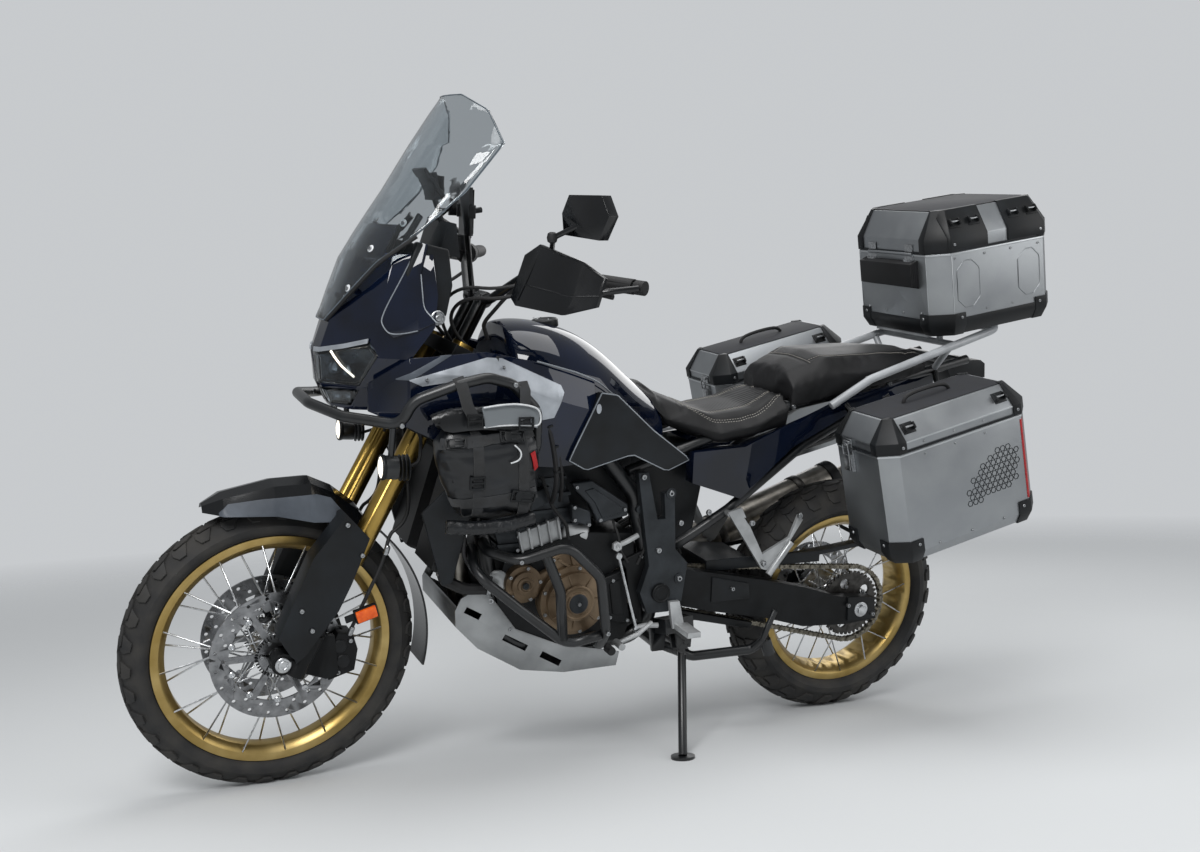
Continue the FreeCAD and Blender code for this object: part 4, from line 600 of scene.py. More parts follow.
# node, bevel in mm, segments, angle that is eased, angle that is smoothed
EASED_NODES = (
    ("front_rim", 0.8, 1, 40, 30), ("rear_rim", 0.8, 1, 40, 30),
    ("front_hub_and_spokes", 0, 1, 40, 50), ("rear_hub_and_spokes", 0, 1, 40, 50),
    ("front_brake_discs", 0, 1, 40, 30), ("rear_brake_disc", 0, 1, 40, 30),
    ("rear_sprocket", 0.5, 1, 40, 30), ("fork_outer_tubes", 0, 1, 40, 40),
    ("fork_lowers_and_axle", 0, 1, 40, 40), ("fork_clamps", 3, 2, 40, 40),
    ("handlebar", 0, 1, 40, 40), ("grips_and_levers", 0, 1, 40, 40),
    ("handguards", 2.5, 2, 30, 60), ("mirrors", 3, 2, 30, 50), ("fork_guards", 4, 3, 30, 50),
    ("front_calipers", 2.5, 2, 30, 40), ("frame", 0, 1, 40, 40), ("pivot_plates", 5, 3, 35, 50),
    ("engine_case", 4, 2, 35, 40), ("engine_cylinders", 1.5, 2, 35, 40),
    ("engine_covers", 2.5, 2, 35, 40), ("radiators", 1, 1, 40, 40), ("exhaust", 1.5, 2, 40, 40),
    ("skid_plate", 0.8, 2, 35, 40), ("swingarm", 5, 3, 35, 45), ("rear_shock", 1, 1, 40, 40),
    ("rear_hugger", 1.5, 2, 35, 40), ("knee_panels", 5, 4, 30, 60),
    ("side_cowls", 1.5, 3, 14, 60), ("front_cowl", 1.5, 3, 12, 60), ("dash", 3, 2, 35, 45),
    ("tail_panels", 5, 4, 20, 60), ("plate_holder", 2.5, 2, 35, 45),
    ("rear_rack", 1.2, 2, 40, 40), ("pannier_racks", 0, 1, 40, 40), ("crash_bars", 0, 1, 40, 40),
    ("pegs_and_pedals", 2, 2, 40, 40), ("aux_lamps", 1.2, 2, 40, 40),
    ("gearbox_sprocket", 1, 1, 40, 40), ("side_stand", 1, 2, 40, 40),
    ("centre_stand", 0, 1, 40, 40), ("left_pannier_body", 1.6, 3, 25, 24),
    ("right_pannier_body", 1.6, 3, 25, 24), ("top_case_body", 1.6, 3, 25, 24),
    ("left_pannier_lid", 2, 3, 25, 22), ("right_pannier_lid", 2, 3, 25, 22),
    ("top_case_lid", 2, 3, 25, 22), ("windscreen", 0, 1, 40, 60), ("headlights", 1, 2, 30, 60),
)
for node_name, bevel, segments, angle, smooth in EASED_NODES:
    dressed(node_name, NODE_FINISH[node_name], bevel, segments, angle, smooth)

# Tyres


def crown_point(radius, crown, along, across, depth):
    """A point on the tread: mm along the tyre, degrees across it and mm from its middle."""
    lean_over = math.radians(across)
    reach = radius - crown + depth * math.cos(lean_over)
    turn = along / radius
    return Vector((reach * math.sin(turn), depth * math.sin(lean_over), reach * math.cos(turn)))


LUG_DEPTH = 6.5  # mm, of which about 4 stand above the casing


def tread_block(radius, crown, corners):
    """A lug cast on the crown: its foot, then its slightly smaller top with eased edges."""
    middle = [sum(value) / len(corners) for value in zip(*corners)]
    rings = []
    for share, rise in ((1.0, -LUG_DEPTH), (1.0, -2.0), (0.97, -0.7), (0.9, -0.1)):
        rings.append([crown_point(radius, crown, middle[0] + (along - middle[0]) * share,
                                  middle[1] + (across - middle[1]) * share, crown + rise)
                      for along, across in corners])
    return lofted(rings)


def tyre(name, node, place, radius, crown, bead, walls, pitches, blocks):
    """Casing spun from its section, and lugs spun round it pitch by pitch."""
    half_bead, bead_seat, flange = bead
    middle = radius - crown
    casing = crown - 6
    outer = [(half_bead, bead_seat), (half_bead, flange)] + list(walls)
    outer += [(casing * math.sin(math.radians(a)), middle + casing * math.cos(math.radians(a)))
              for a in (66, 54, 42, 30, 18, 6)]
    inner = [(half_bead - 6, bead_seat), (walls[1][0] - 9, walls[1][1]),
             (casing * 0.5, middle + casing * 0.7)]
    ring = ([(-side, reach) for side, reach in outer] + list(reversed(outer)) + inner
            + [(-side, reach) for side, reach in reversed(inner)])
    bpy.ops.mesh.primitive_circle_add(vertices=len(ring), radius=1, fill_type="NOTHING")
    shell = bpy.context.object
    for corner, (side, reach) in zip(shell.data.vertices, ring):
        corner.co = (0, side, reach)
    edit(shell, True)
    bpy.ops.mesh.spin(steps=144, angle=math.tau, center=(0, 0, 0), axis=(0, 1, 0))
    bpy.ops.mesh.select_all(action="SELECT")
    bpy.ops.mesh.remove_doubles(threshold=0.05)
    bpy.ops.mesh.normals_make_consistent(inside=False)
    leave_edit()
    pitch = math.tau * radius / pitches
    lugs = []
    for corners in blocks:
        lugs.append(tread_block(radius, crown, corners))
        lugs.append(tread_block(radius, crown,
                                [(along + pitch * 0.5, -across) for along, across in corners]))
    tread = joined(lugs)
    edit(tread, True)
    bpy.ops.mesh.spin(steps=pitches, dupli=True, angle=math.tau, center=(0, 0, 0),
                      axis=(0, 1, 0))
    bpy.ops.mesh.select_all(action="SELECT")
    bpy.ops.mesh.remove_doubles(threshold=0.01)
    leave_edit()
    piece = stand(joined([shell, tread]), name, place, "tyre_rubber", BODY[node], 35)
    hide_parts(node)


FRONT_LUGS = (
    ((3, 2), (37, 2), (52, 17), (44, 25), (14, 22), (-2, 12)),
    ((18, 28), (47, 30), (58, 24), (62, 40), (54, 60), (34, 62)),
)
REAR_LUGS = (
    ((2, 2), (40, 2), (60, 12), (52, 19), (16, 17), (-4, 9)),
    ((20, 21), (54, 23), (64, 17), (70, 30), (56, 38), (28, 36)),
    ((24, 41), (56, 42), (66, 36), (70, 56), (60, 66), (34, 66)),
)
tyre("front_tyre_tread", "front_tyre", FRONT_HUB, FRONT_RADIUS, 46, (28.7, 267.2, 281.6),
     ((33.5, 283.6), (40, 289), (45, 299), (44.6, 309)), 34, FRONT_LUGS)
tyre("rear_tyre_tread", "rear_tyre", REAR_HUB, REAR_RADIUS, 76, (50.7, 229.2, 243.8),
     ((56, 245.6), (66, 250), (74.6, 262), (73, 276)), 28, REAR_LUGS)

# Luggage: fittings are drawn level about the middle of each case's floor


def case_place(ahead, side, floor, tilt):
    """Where the middle of a case's floor is, and how far the case leans back."""
    return (PARKED @ Matrix.Translation((ahead, side, floor))
            @ Matrix.Rotation(math.radians(tilt), 4, "Y"))


# place, length, width, height, lid height, chamfer; the right one is drawn as the left
CASES = {
    "left_pannier": (case_place(-88, 365.5, 612, 14), 445, 249, 285, 78, 38),
    "right_pannier": (case_place(-40, -389.5, 675, 14) @ MIRROR, 445, 249, 285, 78, 38),
    "top_case": (case_place(-362, 0, 1126, 10), 404, 400, 222, 108, 48),
}


def case_ring(case, inset, height):
    """A case's outline, drawn in by an inset."""
    length, width, chamfer = CASES[case][1], CASES[case][2], CASES[case][5]
    half, wide = length / 2 - inset, width / 2 - inset
    cut = max(chamfer - inset * 0.6, 1)
    corners = [(half, wide - cut), (half - cut, wide), (-half + cut, wide), (-half, wide - cut),
               (-half, -wide + cut), (-half + cut, -wide), (half - cut, -wide),
               (half, -wide + cut)]
    return [(x, y, height) for x, y in corners]


def case_trim(name, case, rows, finish, lid=False, keep=None, cuts=(), wall=2.4, bevel=0.7):
    """A shell round the case through (height, inset) rows, of which keep(x, y) says what stays."""
    shell = face_outwards(lofted([case_ring(case, inset - 0.2, z) for z, inset in rows]))
    skin = edit(shell)
    for face in skin.faces:
        face.select_set(len(face.verts) == 8)
    bpy.ops.mesh.delete(type="FACE")
    for x, y in cuts:
        for place, axis in (((x, 0, 0), (1, 0, 0)), ((-x, 0, 0), (1, 0, 0)),
                            ((0, y, 0), (0, 1, 0)), ((0, -y, 0), (0, 1, 0))):
            bpy.ops.mesh.select_all(action="SELECT")
            bpy.ops.mesh.bisect(plane_co=place, plane_no=axis)
    if keep:
        bpy.ops.mesh.select_all(action="DESELECT")
        skin = bmesh.from_edit_mesh(shell.data)
        for face in skin.faces:
            middle = face.calc_center_median()
            face.select_set(not keep(middle.x, middle.y))
        bpy.ops.mesh.delete(type="FACE")
    leave_edit()
    modify(shell, "SOLIDIFY", thickness=wall, offset=1)
    ease_edges(shell, bevel)
    body = case + "_lid_body" if lid else "chassis"
    return stand(shell, case + "_" + name, CASES[case][0], finish, body)


def case_fitting(piece, name, case, finish, lid=False):
    """Stands a piece that is drawn level on its parked case or lid."""
    body = case + "_lid_body" if lid else "chassis"
    return stand(piece, case + "_" + name, CASES[case][0], finish, body)


def latch(places, wired=True):
    """Over-centre latches: a ribbed base, its lever and the wire it pulls down with."""
    base = cuboid((-2, -19, -62), (3, 19, -6), 1)
    ribs = [cuboid((2, side - 2, -60), (9, side + 2, -14), 0.8) for side in (-15, 15)]
    lever = cuboid((6, -11, -58), (11, 11, -16), 1.4)
    hook = hose([(8, -11, -30), (10, -12, -6), (9, -10, 14), (9, 10, 14), (10, 12, -6),
                 (8, 11, -30)], 1.6)
    if not wired:
        bpy.data.objects.remove(hook)
        hook = cuboid((0, -13, -64), (6, 13, -58), 1)
    return repeated(joined([base, lever, hook] + ribs), places)


def keeper(places):
    """The hooked plate on the lid that a latch's wire goes over."""
    plate = cuboid((-1.5, -17, 2), (2, 17, 24), 0.8)
    nose = cuboid((1, -13, 12), (8, 13, 20), 2)
    return repeated(joined([plate, nose]), places)


def cleats(places):
    """Lashing cleats: a black foot with two lugs and a bright bar between them."""
    foot = cuboid((-18, -15, -1), (18, 15, 4), 1.4)
    lugs = [cuboid((side - 3, -9, 2), (side + 3, 9, 15), 2) for side in (-14, 14)]
    return repeated(joined([foot] + lugs), places)


def cleat_bars(places):
    return repeated(stepped([(2.6, -14), (2.6, 14)], 10, 0.4),
                    [place @ Matrix.Translation((0, 0, 11)) @ Matrix.Rotation(math.pi / 2, 4, "Y")
                     for place in places])


def facing(x, y, z, turn):
    """Stands what is drawn facing +X at a place, turned about Z."""
    return Matrix.Translation((x, y, z)) @ Matrix.Rotation(math.radians(turn), 4, "Z")


def hexagons(places):
    """Thin raised hexagon outlines."""
    bpy.ops.mesh.primitive_circle_add(vertices=6, radius=8.6, fill_type="NGON")
    ring = bpy.context.object
    edit(ring, True)
    bpy.ops.mesh.inset(thickness=1.7)
    bpy.ops.mesh.delete(type="FACE")
    bpy.ops.mesh.select_all(action="SELECT")
    bpy.ops.mesh.extrude_region_move(TRANSFORM_OT_translate={"value": (0, 0, 0.6)})
    leave_edit()
    return repeated(ring, places)


for case in CASES:
    length, width, height, lid_height, chamfer = CASES[case][1:]
    half, wide, top = length / 2, width / 2, height + lid_height
    rim = height + 0.5 + lid_height * 0.36
    reach = chamfer + 22

    def corners_only(x, y):
        return abs(x) > half - reach and abs(y) > wide - reach

    def past_corner(x, y):
        return abs(x) > half - reach - 14 and abs(y) > wide - reach - 14

    case_trim("lid_corners", case, ((height + 2, 0), (rim, 0), (top, 40), (top, 56)), "black_cap",
              True, corners_only, ((half - reach, wide - reach),), 3.4, 1.2)
    case_trim("base_corners", case, ((-0.3, 34), (-0.3, 14), (26, 0), (58, 0)), "black_cap",
              False, past_corner, ((half - reach - 14, wide - reach - 14),), 3.4, 1.2)
    case_trim("lid_lip", case, ((height + 1.5, 0), (height + 7, 0)), "satin_plastic", True)
    # The rim bead is in the paler edge finish: partly rubbed metal, partly a painted highlight
    case_trim("rim_bead", case, ((height - 6, 0), (height - 1, 0)), "rubbed_edge_and_highlight", False, wall=1.6)
    case_trim("top_mat_edge", case, ((top, 46), (top, 52)), "matt_rubber", True, wall=2.6)
    mat = lofted([case_ring(case, 47, top), case_ring(case, 47, top + 1.8),
                  case_ring(case, 49, top + 2.4)])
    case_fitting(ease_edges(mat, 0.5), "top_mat", case, "lid_mat", True)
    lid_bolts = [((x, side * (wide + 3), (height + rim) / 2 + 2), (0, side, 0))
                 for x in (half - chamfer - 10, -half + chamfer + 10) for side in (1, -1)]
    base_bolts = [((x, side * (wide + 3), 46), (0, side, 0))
                  for x in (half - chamfer - 22, -half + chamfer + 22) for side in (1, -1)]
    base_bolts += [((half + 3, side * (wide - chamfer - 20), 46), (1, 0, 0)) for side in (1, -1)]
    case_fitting(bolts(lid_bolts, 4.2, 3), "lid_corner_bolts", case, "zinc_bolt", True)
    case_fitting(bolts(base_bolts, 4.2, 3), "base_corner_bolts", case, "zinc_bolt")

    if case == "top_case":
        case_trim("base_band", case, ((-0.2, 15), (26, 0), (44, 0)), "black_cap", wall=2)

        def lid_sides(x, y):
            return abs(x) > 34 and abs(x) < half - 40 and abs(y) > wide - 48

        case_trim("lid_sides", case, ((height + 7, 0), (rim, 0), (top, 40), (top, 50)),
                  "black_cap", True, lid_sides, ((34, wide - 48), (half - 42, wide - 48)), 4.4,
                  1.4)
        pockets = [Matrix.Translation((x, side * (wide - 20), height + 74))
                   @ Matrix.Rotation(math.radians(-side * 52), 4, "X")
                   for x in (128, 66, -66, -128) for side in (1, -1)]
        case_fitting(cleats(pockets), "lid_cleats", case, "black_cap", True)
        case_fitting(cleat_bars(pockets), "lid_cleat_bars", case, "zinc_bolt", True)
        rivet_rows = [((x, side * (wide + 0.4), z), (0, side, 0)) for side in (1, -1)
                      for x, z in ((143, 206), (45, 206), (-42, 206), (-136, 206), (45, 56),
                                   (-42, 56))]
        rivet_rows += [((half + 0.4, y, z), (1, 0, 0)) for y, z in
                       ((120, 60), (40, 56), (-40, 56), (-120, 60))]
        case_fitting(bolts(rivet_rows, 3.4, 2), "rivets", case, "zinc_bolt")
        ridges = []
        for middle in (102, -102):
            outline = [(middle + a, z) for a, z in
                       ((37, 94), (37, 172), (13, 196), (-13, 196), (-37, 172), (-37, 94),
                        (-13, 70), (13, 70))]
            for side in (1, -1):
                ridges.append(hose([(x, side * wide, z) for x, z in outline + outline[:2]], 1.6,
                                   2, 1))
        case_fitting(joined(ridges), "pressed_octagons", case, "case_sheet")
        # Thin paler strips on the folded corners: partly rubbed metal, partly a painted highlight
        seams = [cuboid((half - chamfer - 1, side * wide - 0.8, 46),
                        (half - chamfer + 1, side * wide + 0.8, height - 8), 0.3)
                 for side in (1, -1)]
        seams += [cuboid((half - 0.8, side * (wide - chamfer) - 1, 46),
                         (half + 0.9, side * (wide - chamfer) + 1, height - 8), 0.3)
                  for side in (1, -1)]
        case_fitting(joined(seams), "folded_seams", case, "rubbed_edge_and_highlight")
        latch_places = [facing(half + 2, side * 84, height, 0) for side in (1, -1)]
    else:
        rivet_rows = outward(*[(x, wide + 0.4, height - 16) for x in (110, 20, -70)],
                             *[(x, wide + 0.4, 30) for x in (100, 0, -100)])
        case_fitting(bolts(rivet_rows, 3.2, 2), "rivets", case, "zinc_bolt")
        lid_rivets = outward(*[(x, wide + 0.4, height + 16) for x in (110, 20, -70)])
        case_fitting(bolts(lid_rivets, 3.2, 2), "lid_rivets", case, "zinc_bolt", True)
        # The lid's rim band is in the paler edge finish: partly rubbed metal, partly a painted highlight
        case_trim("rim_band", case, ((rim - 4, 0), (rim, 0)), "rubbed_edge_and_highlight", True, wall=1.4)
        slope = math.degrees(math.atan2(lid_height * 0.64, 40))
        cleat_places = [Matrix.Translation((x, side * (wide - 22), top - 26))
                        @ Matrix.Rotation(math.radians(-side * slope), 4, "X")
                        for x in (half - 84, -half + 84) for side in (1, -1)]
        case_fitting(cleats(cleat_places), "lid_cleats", case, "black_cap", True)
        case_fitting(cleat_bars(cleat_places), "lid_cleat_bars", case, "zinc_bolt", True)
        cells = []
        for row, (first, last) in enumerate(((-1, 1), (-3, 2), (-4, 2), (-5, 2), (-6, 2), (-6, 1),
                                             (-7, 2), (-7, 0), (-7, -5))):
            for column in range(first, last + 1):
                x = -118 - 16.4 * (column + (row % 2) / 2)
                cells.append(Matrix.Translation((x, wide, 214 - 14.2 * row))
                             @ Matrix.Rotation(-math.pi / 2, 4, "X")
                             @ Matrix.Rotation(math.radians(30), 4, "Z"))
        case_fitting(hexagons(cells), "honeycomb", case, "satin_plastic")
        strip = lofted([[(-half + chamfer + 5, wide + 0.8, z), (-half + chamfer, wide + 0.8, z),
                         (-half + chamfer - 16, wide - 15, z),
                         (-half + chamfer - 16, wide - 17, z),
                         (-half + chamfer, wide - 0.6, z), (-half + chamfer + 5, wide - 0.6, z)]
                        for z in (62, height - 12)])
        case_fitting(strip, "rear_strip", case, "red_reflector")
        latch_places = [facing(half + 2, -34, height, 0)]
        handle = hose([(-70, 0, top + 3), (-66, 0, top + 16), (-30, 0, top + 22),
                       (30, 0, top + 22), (66, 0, top + 16), (70, 0, top + 3)], 5)
        case_fitting(handle, "lid_handle", case, "matt_rubber", True)
    if case == "top_case":
        case_fitting(latch(latch_places, False), "hinges", case, "zinc_bolt")
        hinge_plates = repeated(cuboid((-1, -17, 6), (2, 17, 26), 0.8), latch_places)
        case_fitting(hinge_plates, "hinge_plates", case, "zinc_bolt", True)
        latch_places = [facing(-half - 2, side * 84, height, 180) for side in (1, -1)]
    case_fitting(latch(latch_places), "latches", case, "zinc_bolt")
    case_fitting(keeper(latch_places), "latch_keepers", case, "zinc_bolt", True)

backrest = dressed("backrest_pad", "ribbed_cover", 6, 4, 40, 60)

# Seats, bags and their straps


def swollen(node, finish, voxel, cap, pressure=4.0, smooth=8, shrink=4.0):
    """A soft form from its CAD node: remeshed, drawn in, blown up by cloth simulation, capped."""
    piece = merged_copy(node)
    modify(piece, "REMESH", mode="VOXEL", voxel_size=voxel * MM)
    modify(piece, "SMOOTH", factor=0.5, iterations=smooth)
    modify(piece, "DISPLACE", strength=-shrink * MM, mid_level=0)
    before = [corner.co.copy() for corner in piece.data.vertices]
    alone(piece)
    cloth = piece.modifiers.new("cloth", "CLOTH")
    cloth.settings.quality = 4
    cloth.settings.use_pressure = True
    cloth.settings.uniform_pressure_force = pressure
    cloth.settings.effector_weights.gravity = 0
    for frame_number in range(1, 21):
        bpy.context.scene.frame_set(frame_number)
    bpy.ops.object.modifier_apply(modifier=cloth.name)
    for corner, start in zip(piece.data.vertices, before):
        move = corner.co - start
        if move.length > cap * MM:
            corner.co = start + move.normalized() * cap * MM
    modify(piece, "SMOOTH", factor=0.5, iterations=2)
    piece.data.materials.clear()
    piece.data.materials.append(MATERIALS[finish])
    alone(piece)
    bpy.ops.object.shade_smooth()
    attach(piece, BODY[node])
    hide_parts(node)
    return piece


def skin_of(piece):
    """A piece's surface, to lay straps and stitches on."""
    skin = bmesh.new()
    skin.from_mesh(piece.data)
    tree = BVHTree.FromBMesh(skin)
    skin.free()
    return tree


BACK = PARKED.inverted()
TURN = PARKED.to_3x3().normalized()


def land(skin, place, aim, lift=0.0):
    """Where a ray from a place on the bike meets a surface, lifted off it; and the normal."""
    found, normal, _, _ = skin.ray_cast(PARKED @ Vector(place), TURN @ Vector(aim).normalized())
    if found is None:
        return None, None
    normal = TURN.transposed() @ normal
    return BACK @ found + normal * lift, normal


def between(points, step):
    """Points a step apart along a smooth line through the given ones."""
    points = [Vector(point) for point in points]
    padded_points = [points[0] * 2 - points[1]] + points + [points[-1] * 2 - points[-2]]
    line = []
    for a, b, c, d in zip(padded_points, padded_points[1:], padded_points[2:],
                          padded_points[3:]):
        count = max(int((c - b).length / step), 1)
        for number in range(count):
            t = number / count
            line.append(((b * 2) + (c - a) * t + (a * 2 - b * 5 + c * 4 - d) * t * t
                         + (b * 3 - a - c * 3 + d) * t ** 3) / 2)
    return line + [points[-1]]


def laid(skin, points, aim, lift, step=8):
    """A line drawn over a surface from one side, with its normals."""
    pairs = [land(skin, point, aim, lift) for point in between(points, step)]
    return [pair for pair in pairs if pair[0] is not None]


def strap(pairs, width, thick=1.8):
    """A flat strap through (place, normal) pairs."""
    rings = []
    for number, (place, normal) in enumerate(pairs):
        ahead = pairs[min(number + 1, len(pairs) - 1)][0] - pairs[max(number - 1, 0)][0]
        across = ahead.cross(normal).normalized() * width / 2
        up = normal.normalized() * thick
        rings.append([place - across, place + across, place + across + up, place - across + up])
    return lofted(rings)


STITCH_PITCH = 6.5


def stitches(skin, points, aim):
    """A row of short thread stitches along a line on a surface."""
    pairs = laid(skin, points, aim, 0.5, STITCH_PITCH)
    stitch = stepped([(0.5, -2.0), (0.95, -1.2), (0.95, 1.2), (0.5, 2.0)], 6, 0)
    places = []
    for (place, normal), (following, _) in zip(pairs, pairs[1:]):
        along = (following - place).normalized()
        places.append(towards(place, along))
    return repeated(stitch, places)


def sink_seam(piece, lines, depth, reach):
    """Draws a piece's surface in along lines, as a seam does."""
    lines = [[PARKED @ place for place, _ in line] for line in lines]
    moves = []
    for corner in piece.data.vertices:
        nearest = min((corner.co - place).length for line in lines for place in line)
        share = max(0.0, 1 - nearest / (reach * MM))
        moves.append(corner.normal * (-depth * MM * share * share))
    for corner, move in zip(piece.data.vertices, moves):
        corner.co += move


def side_release(size=1.0):
    """A side-release buckle: two shells, its prongs and the loops for the webbing."""
    shell = sheet_panel([(-17, -13), (17, -13), (20, 0), (17, 13), (-17, 13), (-20, 0)], 0, 7, 2)
    prongs = [sheet_panel([(-21, side * 8 - 2), (-14, side * 8 - 3), (4, side * 8 - 3),
                           (4, side * 8 + 3), (-14, side * 8 + 3), (-21, side * 8 + 2)], 2, 8.4, 1)
              for side in (1, -1)]
    loops = [cuboid((x - 2, 0, -14), (x + 2, 6, 14), 1) for x in (27, -27)]
    rails = [cuboid((x, 1, side * 12 - 2), (x + 12, 6, side * 12 + 2), 0.8)
             for x in (15, -27) for side in (1, -1)]
    piece = joined([shell] + prongs + loops + rails)
    piece.data.transform(Matrix.Scale(size, 4))
    return piece


def ladder_lock():
    """A ladder-lock buckle: a frame with a bar across."""
    bars = [cuboid((-16, 0, z - 2.2), (16, 5, z + 2.2), 1) for z in (-13, 0, 13)]
    bars += [cuboid((x - 2.2, 0, -15), (x + 2.2, 5, 15), 1) for x in (-16, 16)]
    return joined(bars)


# The rider's seat has a ribbed middle between two stitched seams, and a nose with its own seam
rider = swollen("seat_rider", "seat_leather", 7, 6)
rider_skin = skin_of(rider)
DOWN = (0, 0, -1)
SEAM_ROWS = {
    "inner": ((536, 46), (470, 78), (400, 84), (330, 78), (280, 58), (262, 30)),
    "outer": ((530, 84), (470, 122), (400, 134), (330, 128), (285, 108), (262, 92)),
}
seams = []
for row in SEAM_ROWS.values():
    for side in (1, -1):
        seams.append(laid(rider_skin, [(x, side * y, 1100) for x, y in row], DOWN, 0, 5))
seams.append(laid(rider_skin, [(546, y, 1100) for y in (-96, -50, 0, 50, 96)], DOWN, 0, 5))
sink_seam(rider, seams, 3.0, 11)
rider_skin = skin_of(rider)
ribbed = edit(rider)
for face in ribbed.faces:
    middle = BACK @ face.calc_center_median()
    face.select_set(262 < middle.x < 540 and abs(middle.y) < 78 and
                    (TURN.transposed() @ face.normal).z > 0.4)
rider.data.materials.append(MATERIALS["ribbed_cover"])
rider.active_material_index = 1
bpy.ops.object.material_slot_assign()
leave_edit()
thread = []
for row in SEAM_ROWS.values():
    for side in (1, -1):
        for shift in (-3.4, 3.4):
            thread.append(stitches(rider_skin, [(x, side * (y + shift), 1100) for x, y in row],
                                   DOWN))
thread.append(stitches(rider_skin, [(541, y, 1100) for y in (-80, -40, 0, 40, 80)], DOWN))
fixed(joined(thread), "rider_seat_stitching", "stitching")

pillion = swollen("seat_pillion", "seat_leather", 7, 8)
pillion_skin = skin_of(pillion)
cross_seam = laid(pillion_skin, [(188, y, 1200) for y in (-120, -60, 0, 60, 120)], DOWN, 0, 5)
side_seams = [laid(pillion_skin, [(x, side * y, 1200) for x, y in
                                  ((180, 92), (100, 112), (0, 116), (-100, 108), (-170, 92))],
                   DOWN, 0, 5) for side in (1, -1)]
sink_seam(pillion, [cross_seam] + side_seams, 3.0, 11)
pillion_skin = skin_of(pillion)
thread = [stitches(pillion_skin, [(183, y, 1200) for y in (-110, -60, 0, 60, 110)], DOWN)]
for side in (1, -1):
    thread.append(stitches(pillion_skin,
                           [(x, side * (y - 4), 1200) for x, y in
                            ((176, 92), (100, 112), (0, 116), (-100, 108), (-170, 92))], DOWN))
fixed(joined(thread), "pillion_stitching", "stitching")

# Roll-top bags on the crash bars, drawn on the left and copied to the right
bags = swollen("tank_bags", "tarpaulin", 7, 14, 6.0, 6, 6.0)
creases = bpy.data.textures.new("bag_creases", "CLOUDS")
creases.noise_scale = 0.07
modify(bags, "DISPLACE", texture=creases, texture_coords="GLOBAL", strength=0.012, mid_level=0.5)
modify(bags, "SMOOTH", factor=0.5, iterations=2)
bag_skin = skin_of(bags)
INWARD = (0, -1, 0)


OFF_BIKE = 480  # well outside the left bag
BAG_BACK = 225  # what a line meets nearer the middle isn't the left bag


def on_bag(points, lift=0.6, step=7):
    """A line of (x, z) points laid on the left bag's outside."""
    landed = laid(bag_skin, [(x, OFF_BIKE, z) for x, z in points], INWARD, lift, step)
    return [pair for pair in landed if pair[0].y > BAG_BACK]


lower_seam = on_bag(((1256, 760), (1180, 770), (1100, 784), (1030, 800)), 0, 5)
upper_seam = on_bag(((1258, 862), (1180, 858), (1100, 866), (1030, 880)), 0, 5)
sink_seam(bags, [lower_seam, upper_seam], 4, 14)
bag_skin = skin_of(bags)
straps = [
    strap(on_bag(((1252, 884), (1180, 890), (1110, 896), (1034, 908))), 26),
    strap(on_bag(((1236, 748), (1180, 752), (1120, 756), (1032, 768))), 26),
    strap(on_bag(((1176, 926), (1174, 900), (1172, 800), (1168, 720))), 24),
    strap(on_bag(((1070, 918), (1068, 860), (1064, 780), (1060, 716))), 24),
    strap([(Vector((1212, 300, 1030)), Vector((0, 1, 0.1))),
           (Vector((1206, 318, 1012)), Vector((0, 1, 0.3))),
           (Vector((1196, 326, 970)), Vector((0, 1, 0.1))),
           (Vector((1182, 334, 940)), Vector((0, 1, 0)))], 26),
    strap([(Vector((1062, 300, 1018)), Vector((0, 1, 0.1))),
           (Vector((1060, 318, 1000)), Vector((0, 1, 0.3))),
           (Vector((1062, 326, 960)), Vector((0, 1, 0.1))),
           (Vector((1064, 334, 930)), Vector((0, 1, 0)))], 24),
]
fixed(both_sides(joined(straps)), "bag_straps", "webbing")


def on_bag_at(piece, x, z, turn=0.0):
    """Sets a fitting that is drawn facing +Y on the bag's outside, over its strap."""
    place, normal = land(bag_skin, (x, OFF_BIKE, z), INWARD, 2.4)
    facing_out = normal.to_track_quat("Y", "Z").to_matrix().to_4x4()
    piece.data.transform(Matrix.Translation(place) @ facing_out
                         @ Matrix.Rotation(math.radians(turn), 4, "Y"))
    return piece


buckles = [on_bag_at(side_release(), 1095, 896, -4), on_bag_at(side_release(), 1066, 764, -8),
           on_bag_at(side_release(0.8), 1222, 886, 4), on_bag_at(ladder_lock(), 1176, 800, 0)]
for x, z in ((1182, 938), (1063, 928)):
    hanging = ladder_lock()
    hanging.data.transform(Matrix.Translation((x, 336, z)))
    buckles.append(hanging)
fixed(both_sides(joined(buckles)), "bag_buckles", "black_cap")
roll = hose([(1262, 292, 930), (1240, 296, 942), (1180, 300, 946), (1110, 300, 945),
             (1050, 296, 940), (1030, 292, 928)], 19, 3, 5)
flap = strap([(Vector((x, 318, z)), Vector((0, 1, 0.15))) for x, z in
              ((1262, 926), (1200, 934), (1120, 934), (1030, 922))], 44, 3)
lower_roll = hose([(1240, 326, 700), (1180, 334, 694), (1100, 334, 696), (1036, 322, 706)], 16,
                  3, 5)
folds = modify(both_sides(joined([roll, flap, lower_roll])), "SUBSURF", levels=1, render_levels=1)
modify(folds, "DISPLACE", texture=creases, texture_coords="GLOBAL", strength=6.0, mid_level=0.5)
fixed(folds, "bag_roll_tops", "tarpaulin", 80)
window = strap([(Vector((x, 330, z)), Vector((0, 1, 0.2))) for x, z in
                ((1160, 944), (1120, 950), (1070, 948), (1030, 938))], 46, 2)
fixed(both_sides(window), "bag_windows", "clear_pocket", 80)
